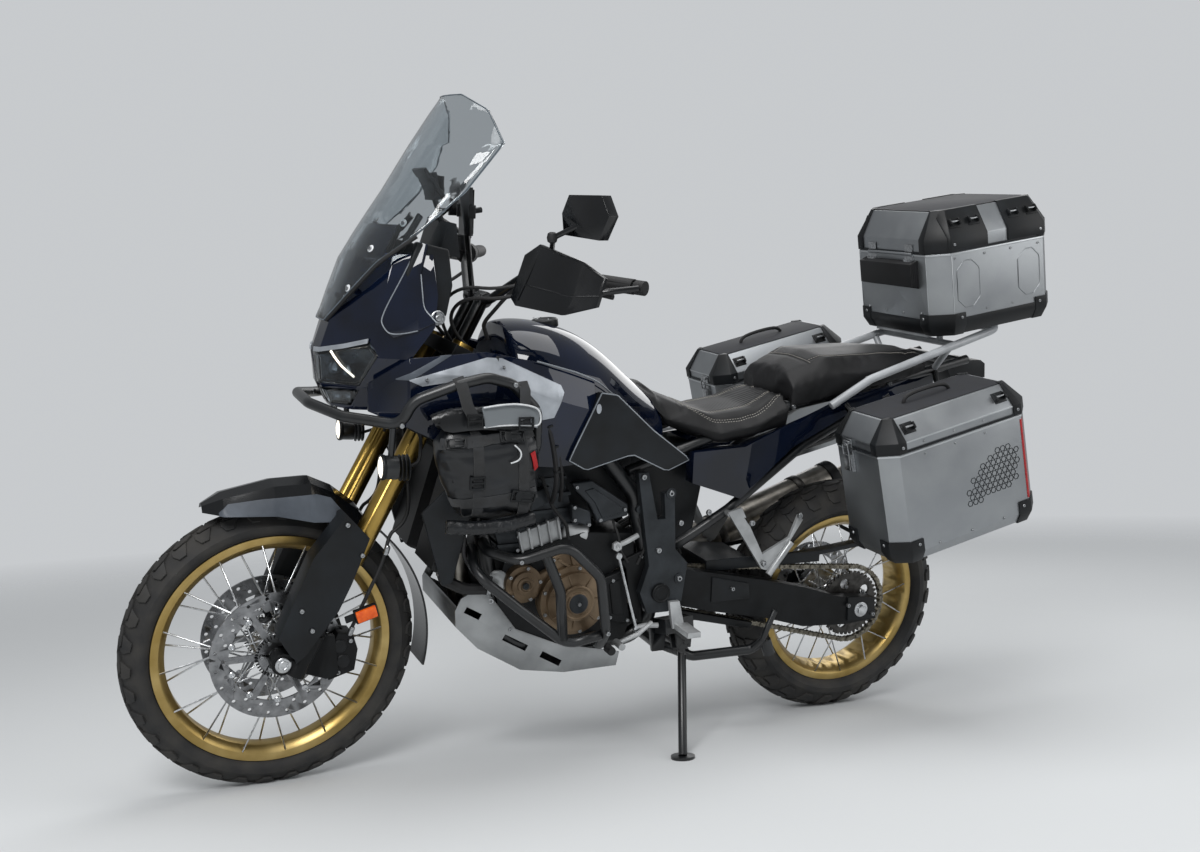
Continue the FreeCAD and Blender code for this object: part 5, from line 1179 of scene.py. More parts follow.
welt = [hose([(1162, 334, 966), (1110, 335, 974), (1060, 335, 970), (1028, 334, 958),
              (1026, 334, 920), (1060, 335, 924), (1120, 335, 926), (1160, 334, 922)], 2.2)]
cord = hose([(1092, 346, 882), (1080, 352, 872), (1077, 354, 858), (1086, 354, 846),
             (1101, 350, 842)], 1.8)
fixed(both_sides(joined(welt + [cord])), "bag_welts", "pale_cord", 80)
tab = strap(on_bag(((1046, 862), (1040, 842), (1034, 822)), 1.4), 14)
fixed(both_sides(tab), "bag_tabs", "red_tab")

# Nose, screen and panels


def inlay(name, node, outline, low, high, rise, finish, place=PARKED):
    """The part of a node's own skin inside an outline, raised a little, in another finish."""
    piece = merged_copy(node)
    cutter = both_sides(sheet_panel(outline, low, high, 0.01, 1))
    cutter.data.transform(place)
    face_outwards(cutter)
    modify(piece, "BOOLEAN", operation="INTERSECT", solver="EXACT", object=cutter)
    bpy.data.objects.remove(cutter)
    modify(piece, "DISPLACE", strength=rise * MM, mid_level=0)
    ease_edges(piece, 0.8 * MM, 2, 50)
    piece.name = name
    coat(piece, finish, 40)
    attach(piece, BODY[node])
    return piece


def sided(points, add=(0, 0, 0)):
    """Points, all moved by the same step."""
    return [Vector(point) + Vector(add) for point in points]


# Lamp bowls behind the clear lenses: the rim just inside the lens, then the drawn-in back
UPPER_LAMP = ((1466, 16, 1054), (1461, 47, 1055), (1373, 138, 1084), (1356, 143, 1062),
              (1388, 122, 994), (1456, 45, 992), (1461, 16, 992))
LOWER_LAMP = ((1456, 16, 973), (1452, 43, 973), (1400, 104, 975), (1400, 94, 944),
              (1436, 42, 939), (1440, 16, 939))


def lamp_bowl(rim, depth):
    """An open bowl drawn in and back from its rim."""
    middle = sum(sided(rim), Vector()) / len(rim)
    back = [middle + (Vector(corner) - middle) * 0.72 + Vector((-depth, -depth * 0.3, 0))
            for corner in rim]
    bowl = face_outwards(lofted([sided(rim), back]))
    skin = edit(bowl)
    for face in skin.faces:
        face.select_set(len(face.verts) == len(rim)
                        and (face.calc_center_median() - middle).length < 4)
    bpy.ops.mesh.delete(type="FACE")
    leave_edit()
    return modify(bowl, "SOLIDIFY", thickness=2, offset=-1)


def projector(place, radius, depth):
    """A lamp unit that looks ahead and a little out: a deep collar round a domed lens."""
    return turned(place, (1, 0.35, -0.04),
                  [(radius, -depth), (radius, 0), (radius * 0.86, 2), (radius * 0.82, -3),
                   (radius * 0.6, 0), (radius * 0.3, 3), (radius * 0.05, 4)], 28, 0)


fixed(both_sides(joined([lamp_bowl(UPPER_LAMP, 34), lamp_bowl(LOWER_LAMP, 26)])),
      "lamp_bowls", "lamp_bowl")
units = [projector((1432, 44, 1022), 17, 22), projector((1408, 84, 1020), 15, 20),
         projector((1424, 42, 957), 12, 16), projector((1402, 70, 959), 11, 14)]
fixed(both_sides(joined(units)), "lamp_projectors", "lamp_chrome")
strips = [hose([(1446, 76, 1064), (1437, 84, 1048), (1424, 94, 1030), (1398, 112, 1008)], 2.6),
          hose([(1452, 50, 984), (1424, 80, 983), (1398, 108, 984)], 1.4)]
fixed(both_sides(joined(strips)), "running_lights", "lit_lamp")
rims = [hose(sided(UPPER_LAMP, (2.5, 1.5, 0)) + sided(UPPER_LAMP[:2], (2.5, 1.5, 0)), 2.4, 2),
        hose(sided(LOWER_LAMP, (2.5, 1.5, 0)) + sided(LOWER_LAMP[:2], (2.5, 1.5, 0)), 2.4, 2)]
fixed(both_sides(joined(rims)), "lamp_rims", "satin_plastic")
brow = lofted([[(x, y, z), (x + 3, y + 2, z), (x + 2, y + 2, z + 11), (x - 2, y, z + 11)]
               for x, y, z in ((1474, 20, 1057), (1467, 50, 1059), (1420, 98, 1072),
                               (1375, 143, 1088))])
fixed(both_sides(ease_edges(brow, 1)), "lamp_brows", "silver_panel")

# Screen: its outline as (half width, spine x, edge x, height) rows, and what holds it
SCREEN_ROWS = ((46, 1462, 1456, 1132), (104, 1437, 1412, 1200), (150, 1410, 1360, 1270),
               (181, 1374, 1282, 1330), (184, 1342, 1224, 1380), (197, 1308, 1172, 1430),
               (224, 1240, 1092, 1540), (160, 1192, 1110, 1615), (84, 1168, 1148, 1650))


def screen_point(row, share, behind=0.0):
    """A point of the bowed screen, from its spine (0) to its edge (1)."""
    half, spine, rim, height = row
    return Vector((spine - (spine - rim) * share * share - behind, half * share, height))


edge_line = [screen_point(row, 1.0) for row in SCREEN_ROWS]
top_line = [screen_point(SCREEN_ROWS[-1], share, -0.5) for share in (0.5, 0, -0.5)]
loop = edge_line + top_line + [Vector((p.x, -p.y, p.z)) for p in reversed(edge_line)]
loop += [screen_point(SCREEN_ROWS[0], -0.5), screen_point(SCREEN_ROWS[0], 0.5)]
fixed(hose(loop + loop[:1], 1.7, 2), "screen_edge", "screen_line")
seal = hose([screen_point(row, 1.0, 4) + Vector((-2, 2, 0)) for row in SCREEN_ROWS[:4]], 5)
fixed(both_sides(seal), "screen_seals", "matt_rubber")
lift_pivots = [((1295, 140, 1357), (0.75, 0.5, 0.4)), ((1363, 112, 1298), (0.8, 0.4, 0.45)),
               ((1411, 96, 1208), (0.9, 0.3, 0.3))]
screws = both_sides(bolts(lift_pivots, 5, 5))
fixed(screws, "screen_screws", "zinc_bolt")
washers = both_sides(turned_set(lift_pivots, [(8.6, -1), (9, 0.6), (7, 1.6)], 24, 0))
fixed(washers, "screen_washers", "white_washer")
shares = [number / 6 for number in range(-6, 7)]
rings = []
for height, spine, rim, half in ((1286, 1391, 1345, 120), (1320, 1372, 1322, 112),
                                 (1352, 1350, 1304, 96)):
    row = (half, spine - 10, rim - 4, height)
    rings.append([screen_point(row, share) for share in shares]
                 + [screen_point(row, share, 4) for share in reversed(shares)])
fixed(ease_edges(lofted(rings), 0.6), "screen_shield", "gloss_paint", 60)
arms = [hose([(1330, 96, 1250), (1316, 116, 1310), (1299, 134, 1352)], 6),
        hose([(1300, 60, 1262), (1262, 60, 1330), (1232, 40, 1372)], 8)]
fixed(both_sides(joined(arms)), "screen_stays", "satin_plastic")

# Panels at the sides of the nose, with pale lines along their edges as painted highlights
flank = [(1350, 1150), (1296, 1250), (1262, 1318), (1246, 1312), (1264, 1246), (1262, 1172),
         (1238, 1142), (1276, 1122), (1326, 1104), (1346, 1122)]


def flank_side(x, z):
    """How far out the cowl is behind the deflector, by its rows."""
    rows = ((1090, 218), (1130, 214), (1200, 195.4), (1290, 174), (1330, 165))
    below, above = next(pair for pair in zip(rows, rows[1:]) if z <= pair[1][0])
    share = (z - below[0]) / (above[0] - below[0])
    return below[1] + (above[1] - below[1]) * share - (x - 1240) * 0.5


rings = [[(x, flank_side(x, z) + out, z) for x, z in flank] for out in (0, 5)]
fixed(both_sides(ease_edges(lofted(rings), 1.4)), "screen_deflectors", "gloss_paint")
# Pale lines along the deflectors' edges: painted highlights
flank_lines = ([(1262, 1318), (1296, 1250), (1350, 1150), (1348, 1128), (1328, 1106),
                (1276, 1122)], [(1264, 1246), (1262, 1172), (1238, 1142)])
lines = [hose([(x, flank_side(x, z) + 5, z) for x, z in line], 1.6) for line in flank_lines]
fixed(both_sides(joined(lines)), "deflector_edge_highlights", "painted_edge_highlight")
ducts = sheet_panel([(1270, 1318), (1196, 1302), (1186, 1220), (1200, 1150), (1236, 1142),
                     (1272, 1172), (1296, 1246)], 138, 166, 5, 3)
fixed(both_sides(ducts), "inner_fairings", "satin_plastic")
knob = turned((1232, 196, 1150), (0, 1, 0.1),
              [(17, 0), (17, 12), (14, 14), (13, 11), (8, 11), (7, 18), (5, 19)], 32, 0.6)
fixed(both_sides(knob), "accessory_sockets", "zinc_bolt")

inlay("silver_side_panels", "side_cowls",
      [(1301, 1015), (1123, 1062), (1086, 1059), (941, 994), (934, 978), (960, 922), (994, 917),
       (1010, 954), (1096, 1014), (1123, 1025), (1273, 1003)], 190, 300, 2.2, "silver_panel")
inlay("silver_side_seams", "side_cowls",
      [(1098, 1064), (1094, 1064), (1107, 1020), (1111, 1020)], 190, 300, 2.7, "satin_plastic")
inlay("grey_nose_trims", "side_cowls",
      [(1328, 1016), (1204, 1078), (1190, 1078), (1300, 1016)], 180, 300, 1.6, "grey_fender")
cowl_screws = [((1264, 238, 1016), (0, 1, 0.3)), ((1086, 242, 1041), (0, 1, 0.5)),
               ((964, 236, 938), (0, 1, 0.1))]
fixed(both_sides(bolts(cowl_screws, 4.5, 4)), "side_panel_screws", "zinc_bolt")
inlay("fender_grey_sides", "front_fender",
      [(1700, 700), (1680, 717), (1600, 724), (1480, 727), (1446, 716), (1414, 676), (1436, 640),
       (1510, 630), (1600, 650), (1700, 680)], 40, 90, 1.2, "grey_fender", STEERED)

# Pale lines round the knee panels: painted highlights on their edges
knee_line = [(839, 975), (799, 969), (700, 880), (597, 804), (659, 778), (753, 824), (873, 791),
             (917, 816)]
fixed(both_sides(hose([(x, 238.5, z) for x, z in knee_line + knee_line[:1]], 1.8, 2)),
      "knee_panel_edge_highlights", "painted_edge_highlight")
oval = stepped([(9, 0), (9, 1.2), (7, 1.8)], 28, 0)
oval.data.transform(towards((846, 240, 938), (0, 1, 0)) @ Matrix.Diagonal((0.7, 1.3, 1, 1)))
fixed(both_sides(oval), "blank_badges", "silver_panel")
# A pale line along the tank's side edge: a painted highlight
fin = hose([(1000, 226, 1052), (900, 218, 1024), (840, 210, 1000), (790, 200, 962)], 2)
fixed(both_sides(fin), "tank_edge_highlights", "painted_edge_highlight")

# Instruments, phone and handlebar details
face = sheet_panel([(1176, 1292), (1150, 1284), (1160, 1354), (1176, 1358)], -90, 90, 2)
fixed(face, "dash_screen", "screen_black")
visor = sheet_panel([(1186, 1412), (1232, 1478), (1226, 1484), (1176, 1418)], -40, 70, 2)
fixed(visor, "device_visor", "satin_plastic")
unit = cuboid((1180, -32, 1416), (1187, 62, 1466), 1.5)
fixed(unit, "device_screen", "screen_black")
clamp_arms = [cuboid((1094, -64, 1370), (1112, -56, 1402), 2),
              cuboid((1094, 16, 1370), (1112, 24, 1402), 2),
              cuboid((1090, -40, 1360), (1098, 0, 1412), 3),
              hose([(1092, -20, 1386), (1076, -20, 1388), (1064, -20, 1390)], 7)]
steer(joined(clamp_arms), "phone_clamp", "black_cap")
phone_face = cuboid((1096, -56, 1334), (1098.5, 16, 1438), 1)
steer(phone_face, "phone_screen", "screen_black")
mirror_face = [(-56, -36), (-64, 6), (-46, 41), (47, 45), (71, 7), (45, -39)]
rings = [[Vector((992, 424, 1398)) + Vector((-0.30 * a - 14 - out, 0.95 * a - out * 0.3, b))
          for a, b in mirror_face] for out in (-1, 1.6)]
steer(both_sides(ease_edges(lofted(rings), 0.5)), "mirror_glasses", "mirror_glass")
ball_joints = repeated(stepped([(5, -12), (10, -9), (12, 0), (10, 9), (5, 12)], 20, 0),
                       [Matrix.Translation(place) for place in
                        ((1006, 294, 1280), (1052, 380, 1352), (990, 418, 1388))])
steer(both_sides(ball_joints), "mirror_joints", "matt_rubber")
guard_ridges = [hose([(1108, 330, 1212), (1082, 334, 1268), (1056, 333, 1330)], 2),
                hose([(1056, 333, 1330), (1004, 440, 1302), (974, 483, 1274)], 2),
                hose([(1092, 332, 1246), (1034, 440, 1232), (984, 484, 1238)], 1.8)]
steer(both_sides(joined(guard_ridges)), "handguard_edges", "gloss_plastic")
reservoir = turned((1018, 262, 1276), (0, 0, 1),
                   [(17, 0), (17, 30), (19, 31), (19, 38), (16, 40)], 28, 0.8)
steer(both_sides(reservoir), "fluid_reservoirs", "black_cap")

# Tank, engine, wheels and rear

CLUTCH = (872, 452)  # middle of the round cover on the left, as x and z
GENERATOR = (1000, 500)  # middle of the smaller one in front of it

TANK_ROWS = (
    (1036, ((0, 1118), (86, 1110), (150, 1062), (176, 980), (126, 900), (0, 900))),
    (1026, ((0, 1126), (90, 1118), (154, 1066), (180, 978), (130, 896), (0, 896))),
    (960, ((0, 1134), (112, 1126), (198, 1060), (217, 960), (170, 868), (0, 868))),
    (820, ((0, 1108), (112, 1094), (203, 1020), (225, 930), (190, 848), (0, 848))),
    (700, ((0, 1000), (88, 986), (154, 936), (176, 870), (150, 810), (0, 810))),
    (612, ((0, 934), (62, 922), (100, 886), (116, 842), (102, 800), (0, 800))),
    (603, ((0, 924), (58, 912), (94, 878), (110, 840), (98, 802), (0, 802))))


def closed_ring(x, half):
    """A ring across the bike from its left half."""
    left = [Vector((x, y, z)) for y, z in half]
    return left + [Vector((x, -y, z)) for y, z in reversed(half[1:-1])]


tank = lofted([closed_ring(x, half) for x, half in TANK_ROWS], 3)
tank = fixed(face_outwards(tank), "tank", "gloss_paint", 80)
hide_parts("tank")
cap = turned((900, 0, 1122), (0.12, 0, 1),
             [(34, -14), (34, 3), (30, 6), (22, 6), (20, 4), (0.5, 4)], 40, 0.8)
fixed(cap, "tank_cap", "black_cap")
ring_bolts = bolts([((900 + 27 * math.cos(turn), 27 * math.sin(turn), 1128), (0.12, 0, 1))
                    for turn in (0.5, 1.55, 2.6, 3.65, 4.7, 5.75)], 2.6, 2)
fixed(ring_bolts, "tank_cap_screws", "zinc_bolt")

# What fills the room between the tank and the engine
airbox = sheet_panel([(1060, 880), (700, 830), (672, 700), (716, 622), (900, 640), (930, 800),
                      (1040, 812)], -98, 98, 8, 3)
fixed(airbox, "airbox", "satin_plastic")
battery_tray = sheet_panel([(700, 800), (500, 812), (470, 740), (500, 560), (600, 530),
                            (640, 700), (690, 720)], -84, 84, 8, 3)
fixed(battery_tray, "inner_tray", "satin_plastic")
covers = [sheet_panel([(878, 742), (826, 747), (725, 680), (724, 651), (803, 635), (831, 687),
                       (866, 721)], 140, 166, 5, 3),
          sheet_panel([(845, 722), (822, 728), (742, 674), (745, 660), (796, 650), (818, 692)],
                      160, 170, 3, 2),
          sheet_panel([(876, 688), (823, 668), (819, 628), (872, 642)], 136, 160, 5, 3),
          sheet_panel([(1004, 708), (930, 736), (914, 700), (985, 668)], 128, 150, 5, 2)]
fixed(both_sides(joined(covers)), "engine_side_covers", "grey_cast")
case_panels = [sheet_panel([(737, 530), (653, 563), (650, 504), (676, 469), (668, 363),
                            (699, 363), (721, 510)], 146, 157, 4, 3),
               sheet_panel([(784, 493), (729, 511), (707, 368), (772, 382)], 146, 166, 5, 3),
               sheet_panel([(770, 478), (740, 488), (726, 392), (758, 398)], 160, 170, 3, 2)]
fixed(joined(case_panels), "sprocket_covers", "black_cast")
block = [sheet_panel([(1006, 618), (906, 648), (893, 590), (990, 556)], 120, 142, 3, 2)]
for share in (0.0, 0.25, 0.5, 0.75, 1.0):
    foot = Vector((990, 0, 558)).lerp(Vector((893, 0, 592)), share)
    head = Vector((1006, 0, 620)).lerp(Vector((906, 0, 650)), share)
    block.append(sheet_panel([(foot.x + 3, foot.z - 4), (head.x + 3, head.z + 4),
                              (head.x - 3, head.z + 5), (foot.x - 3, foot.z - 3)],
                             134, 148, 1, 1))
fixed(both_sides(joined(block)), "cylinder_ribs", "bare_cast")
starter = turned((886, 122, 612), (-1, 0.1, -0.16),
                 [(20, 0), (24, 4), (24, 62), (18, 68), (8, 70)], 32, 1)
alternator = turned((1052, 138, 506), (0.5, 1, 0),
                    [(22, 0), (26, 4), (26, 10), (21, 13), (9, 15)], 32, 1)
fixed(joined([starter, alternator]), "starter_motor", "bare_cast")
pump = sheet_panel([(930, 563), (880, 578), (829, 518), (850, 500), (930, 520)], 150, 178, 6, 3)
ridge = [sheet_panel([(918, 556), (912, 560), (846, 514), (850, 508)], 172, 186, 2, 2),
         sheet_panel([(886, 572), (880, 574), (862, 516), (868, 514)], 172, 184, 2, 2)]
web = [sheet_panel([(962, 520), (930, 532), (930, 498), (958, 474)], 150, 172, 6, 2)]
fixed(joined([pump] + ridge + web), "pump_cover", "bronze_cover")

hub = turned((872, 212, 452), LEFT,
             [(45, 0), (45, 3), (40, 5), (37, 3), (29, 3), (28, 6), (26, 7)], 48, 0.6)
small_hub = turned((1000, 189, 500), LEFT,
                   [(22, 0), (21, 4), (14, 5), (12, 2), (5, 2)], 36, 0.6)
fixed(joined([hub, small_hub]), "cover_rings", "bronze_cover")
window = turned((872, 216, 452), LEFT, [(25, 0), (25, 3), (20, 5), (6, 5.5)], 40, 0.5)
plug = turned((1000, 190, 500), LEFT, [(9, 0), (9, 5), (4, 5), (3.5, 3)], 6, 0.4)
fixed(joined([window, plug]), "cover_windows", "grey_cast")
rims = []
for number in range(7):
    turn = math.radians(20 + number * 51.4)
    rims.append(hose([(CLUTCH[0] + out * math.cos(turn), side, CLUTCH[1] + out * math.sin(turn))
                      for out, side in ((44, 206), (58, 206), (72, 203))], 1.6, 2))
fixed(joined(rims), "cover_segments", "bronze_cover")
cover_bolts = bolt_circle(*CLUTCH, 82, 188, 9, 18)
cover_bolts += bolt_circle(*GENERATOR, 41, 178, 5, 30)
cover_bolts += outward((872, 222, 452), (926, 178, 556), (836, 178, 518), (760, 166, 486),
                       (716, 166, 378), (764, 166, 390), (734, 166, 502), (680, 157, 540),
                       (690, 157, 372), (866, 160, 648), (868, 160, 680), (828, 160, 634),
                       (735, 166, 668), (866, 166, 732), (800, 166, 645), (1006, 142, 612),
                       (990, 142, 562), (900, 142, 640), (1090, 128, 770), (930, 128, 796),
                       (1108, 128, 790), (1010, 150, 580), (1040, 150, 556), (1024, 150, 380))
fixed(bolts(cover_bolts, 5, 5), "engine_bolts_left", "zinc_bolt")
right_bolts = bolt_circle(850, 452, 98, -150, 9, 10, RIGHT)
right_bolts += outward((1090, -128, 770), (930, -128, 796), (1006, -142, 612), (900, -142, 640),
                       (866, -166, 732), (735, -166, 668), (800, -166, 645), axis=RIGHT)
fixed(bolts(right_bolts, 5, 6), "engine_bolts_right", "zinc_bolt")

links = [hose([(749, 174, 547), (724, 178, 455), (699, 184, 363)], 4),
         turned_set(outward((750, 174, 551), (698, 184, 359)),
                    [(4, -6), (8, -5), (9, 0), (8, 5), (4, 6)], 20, 0)]
fixed(joined(links), "shift_rod", "bright_spoke")
arm = [hose([(754, 164, 574), (726, 166, 584), (695, 166, 599)], 7),
       hose([(700, 182, 360), (672, 186, 366), (640, 190, 364)], 7),
       turned((752, 160, 574), LEFT, [(13, 0), (13, 12), (7, 13), (6, 9)], 6, 0.6)]
fixed(joined(arm), "clutch_arm", "bare_cast")
ribs = [(11 if number % 2 else 9, 3 * number) for number in range(1, 11)]
pedal_rubber = turned((786, 208, 326), LEFT, [(11, 0)] + ribs, 24, 0)
fixed(pedal_rubber, "shift_rubber", "matt_rubber")

radiator_hoses = [hose([(1206, 165, 566), (1200, 172, 528), (1150, 172, 500),
                        (1070, 165, 492)], 14),
                  hose([(1140, 170, 786), (1104, 172, 756), (1050, 156, 716), (1000, 140, 690)],
                       14),
                  hose([(1208, -165, 566), (1196, -172, 528), (1120, -172, 500),
                        (1060, -150, 480)], 14)]
fixed(joined(radiator_hoses), "coolant_hoses", "matt_rubber")
clips = turned_set([((1202, 168, 545), (0.1, -0.1, 1)), ((1128, 171, 776), (1, 0, 0.9)),
                    ((1090, 167, 494), (1, 0.05, 0.1)), ((1204, -168, 545), (0.1, 0.1, 1))],
                   [(15.6, -5), (15.8, -3), (15.8, 3), (15.6, 5)], 32, 0)
fixed(clips, "hose_clips", "zinc_bolt")
shroud = sheet_panel([(1262, 700), (1212, 520), (1186, 528), (1120, 792), (1150, 806)], 190, 200,
                     3, 2)
fixed(both_sides(shroud), "radiator_sides", "satin_plastic")
loom = [hose([(990, 176, 960), (976, 236, 917), (953, 236, 833), (941, 230, 753),
              (930, 168, 700)], 6),
        hose([(980, 170, 950), (962, 228, 900), (940, 230, 830), (926, 226, 760),
              (906, 160, 700)], 5),
        hose([(952, 150, 760), (930, 164, 690), (890, 166, 640), (880, 158, 600)], 4.5),
        hose([(1157, 190, 637), (1161, 196, 592), (1130, 190, 540), (1080, 168, 520)], 5),
        hose([(760, 150, 640), (748, 164, 600), (742, 168, 560), (720, 166, 530)], 3.5),
        hose([(690, 150, 640), (674, 160, 600), (672, 160, 560), (690, 158, 520)], 4),
        hose([(640, 100, 600), (600, 120, 640), (560, 110, 560), (540, 100, 520)], 5)]
fixed(joined(loom), "wiring_looms", "matt_rubber")
cords = [hose([(1300, 120, 925), (1260, 180, 880), (1272, 212, 826), (1310, 226, 812)], 4),
         hose([(1300, -120, 925), (1260, -180, 880), (1272, -212, 826), (1310, -226, 812)], 4)]
fixed(joined(cords), "aux_lamp_leads", "matt_rubber")
ties = turned_set([((952, 232, 850), (0.2, 0, 1)), ((944, 231, 790), (0.15, 0, 1)),
                   ((968, 233, 900), (0.3, 0, 1))], [(9, -2.5), (9.4, 0), (9, 2.5)], 20, 0)
fixed(ties, "cable_ties", "black_cap")

# Frame plates, pegs and swingarm
plate_bolts = outward((490, 152, 641), (574, 160, 621), (616, 182, 706), (582, 182, 481),
                      (644, 182, 560), (694, 182, 752), (226, 170, 619), (370, 170, 609),
                      (327, 170, 495))
plate_bolts += [((1073, 148, 457), (0.4, 1, 0)), ((1140, 120, 420), (0.7, 1, 0))]
fixed(both_sides(bolts(plate_bolts, 8, 6)), "frame_bolts", "zinc_bolt")
plate_rings = [turned(spot, LEFT, [(14, 0), (13.4, 2.4), (9, 3)], 28, 0)
               for spot in ((582, 182, 481), (616, 182, 706))]
fixed(both_sides(joined(plate_rings)), "frame_washers", "grey_cast")
pivot = turned((635, 184, 448), LEFT,
               [(25, 0), (25, 8), (22, 10), (20, 8), (17, 8), (15, 9.5), (4, 10)], 44, 0.6)
fixed(both_sides(pivot), "pivot_caps", "black_cast")
arm_trims = [sheet_panel([(470, 466), (360, 440), (352, 396), (470, 396)], 146, 155, 3, 2),
             sheet_panel([(44, 372), (-44, 366), (-52, 306), (40, 302)], 146, 158, 3, 2)]
fixed(both_sides(joined(arm_trims)), "swingarm_plates", "black_cap")
guard = sheet_panel([(545, 352), (330, 300), (322, 316), (540, 372)], 104, 124, 2, 2)
fixed(guard, "lower_chain_guide", "black_cap")
rear_end = (0, 157, REAR_RADIUS)
axle_nuts = [turned(rear_end, LEFT, [(21, 0), (21, 3), (17, 4)], 32, 0.4),
             turned(rear_end, LEFT, [(15, 0), (15, 11)], 6, 1.2)]
fixed(both_sides(joined(axle_nuts)), "rear_axle_nuts", "bright_spoke")
adjusters = bolts([((-50, 132, REAR_RADIUS), (-1, 0, 0)), ((44, 158, 350), (0, 1, 0)),
                   ((-38, 158, 318), (0, 1, 0)), ((410, 155, 430), (0, 1, 0))], 6, 8)
fixed(both_sides(adjusters), "swingarm_bolts", "zinc_bolt")

# Chain: links of two waisted plates and their rollers, along both strands
CHAIN = (Vector((0, 97, REAR_RADIUS)), 106, Vector((716, 97, 458)), 41)


def chain_places(count):
    """Where each link sits, over both straights and sprockets."""
    far, big, near, small = CHAIN
    span = near - far
    slope = math.asin((big - small) / span.length)
    bearing = math.atan2(span.z, span.x)
    straight = span.length * math.cos(slope)
    wraps = (big * (math.pi + 2 * slope), small * (math.pi - 2 * slope))
    whole = 2 * straight + sum(wraps)
    top, low = bearing + math.pi / 2 - slope, bearing - math.pi / 2 + slope
    places = []
    for number in range(count):
        run = whole * (number + 0.5) / count
        if run < straight:
            start = far + Vector((math.cos(top), 0, math.sin(top))) * big
            heading = top - math.pi / 2
            spot = start + Vector((math.cos(heading), 0, math.sin(heading))) * run
        elif run < straight + wraps[1]:
            turn = top - (run - straight) / small
            spot = near + Vector((math.cos(turn), 0, math.sin(turn))) * small
            heading = turn - math.pi / 2
        elif run < 2 * straight + wraps[1]:
            start = near + Vector((math.cos(low), 0, math.sin(low))) * small
            heading = low - math.pi / 2
            spot = start + Vector((math.cos(heading), 0, math.sin(heading))) \
                * (run - straight - wraps[1])
        else:
            turn = low - (run - 2 * straight - wraps[1]) / big
            spot = far + Vector((math.cos(turn), 0, math.sin(turn))) * big
            heading = turn - math.pi / 2
        places.append(Matrix.Translation(spot) @ Matrix.Rotation(-heading, 4, "Y"))
    return places


def chain_link(inner):
    """Two waisted plates, and the outer link's two rollers."""
    width = 5.4 if inner else 7.6
    outline = [(-11, 0), (-9, 5), (-5, 6.6), (0, 4.6), (5, 6.6), (9, 5), (11, 0), (9, -5),
               (5, -6.6), (0, -4.6), (-5, -6.6), (-9, -5)]
    link = [sheet_panel(outline, side * width - 0.9, side * width + 0.9, 0.3, 1)
            for side in (1, -1)]
    if not inner:
        for end in (-7.2, 7.2):
            link.append(turned((end, 0, 0), LEFT,
                               [(2.2, -9.4), (4.4, -5), (4.4, 5), (2.2, 9.4)], 10, 0))
    return joined(link)


chain_steps = chain_places(118)
chain = joined([repeated(chain_link(False), chain_steps[0::2]),
                repeated(chain_link(True), chain_steps[1::2])])
chain = fixed(chain, "chain", "oiled_chain")
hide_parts("chain")

# Wheels: disc carriers, bobbins, sensor rings and nuts
for name, hub_place, body, offset, radius, count, sides in (
        ("front", FRONT_HUB, "front_wheel", 67.5, 110, 10, (1, -1)),
        ("rear", REAR_HUB, "rear_wheel", 95.5, 88, 6, (-1,))):
    buttons, hub_bolts, teeth = [], [], []
    for side in sides:
        buttons += [towards(*spot) for spot in
                    bolt_circle(0, 0, radius, side * offset, count, 180 / count, (0, side, 0))]
        hub_bolts += bolt_circle(0, 0, 37, side * (offset + 0.5), 6, axis=(0, side, 0))
        teeth += [towards(spot, (spot[0], 0, spot[2])) for spot, _ in
                  bolt_circle(0, 0, 49, side * (offset + 3), 40)]
    bobbins = repeated(stepped([(8, -1.5), (8, 2), (6.4, 3.4), (4.4, 3.2), (3.6, 1.4)], 20, 0),
                       buttons)
    stand(bobbins, name + "_disc_bobbins", hub_place, "bright_spoke", body)
    stand(bolts(hub_bolts, 5.5, 5), name + "_disc_bolts", hub_place, "zinc_bolt", body)
    comb = repeated(cuboid((-1.6, -1.4, -4), (1.6, 1.4, 4), 0.3), teeth)
    stand(comb, name + "_sensor_ring", hub_place, "black_cast", body)
sprocket_bolts = bolts(bolt_circle(0, 0, 52, 101, 5), 6, 7)
stand(sprocket_bolts, "rear_sprocket_bolts", REAR_HUB, "zinc_bolt", "rear_wheel")
front_end = (WHEELBASE, 129, FRONT_RADIUS)
front_nut = [turned(front_end, LEFT, [(19, 0), (19, 3), (16, 5)], 36, 0.5),
             turned(front_end, LEFT, [(13, 0), (13, 9), (9, 10), (8, 4)], 6)]
steer(both_sides(joined(front_nut)), "front_axle_nuts", "bright_spoke")
fork_bolts = bolts(outward((1431, 147, 676), (1512, 147, 430), (1536, 147, 480),
                           (1410, 101, 376), (1440, 101, 300), (1396, 147, 600)), 6, 4)
steer(both_sides(fork_bolts), "fork_bolts", "zinc_bolt")
pistons = turned_set(outward((1436, 99, 364), (1428, 99, 326)),
                     [(17, 0), (17, 3), (14, 5), (9, 3), (4, 3)], 28, 0.4)
steer(both_sides(pistons), "caliper_caps", "black_cap")
tilted = Matrix.Translation((1380, 124, 449)) @ Matrix.Rotation(math.radians(16), 4, "Y")
bracket = joined([cuboid((-6, -8, -9), (50, -3, 9), 2), cuboid((-28, -6, -18), (28, 6, 18), 3)])
bracket.data.transform(tilted)
steer(both_sides(bracket), "reflector_mounts", "black_cap")
reflector = cuboid((-25, 4, -15), (25, 11, 15), 3)
reflector.data.transform(tilted)
steer(both_sides(reflector), "side_reflectors", "orange_reflector")
brake_hoses = [hose([(1272, 50, 892), (1280, 84, 850), (1282, 110, 780), (1278, 122, 720),
                     (1284, 124, 676), (1304, 124, 652), (1326, 124, 640), (1340, 132, 580),
                     (1378, 132, 500), (1412, 104, 402)], 4.5)]
steer(both_sides(joined(brake_hoses)), "front_brake_hoses", "matt_rubber")
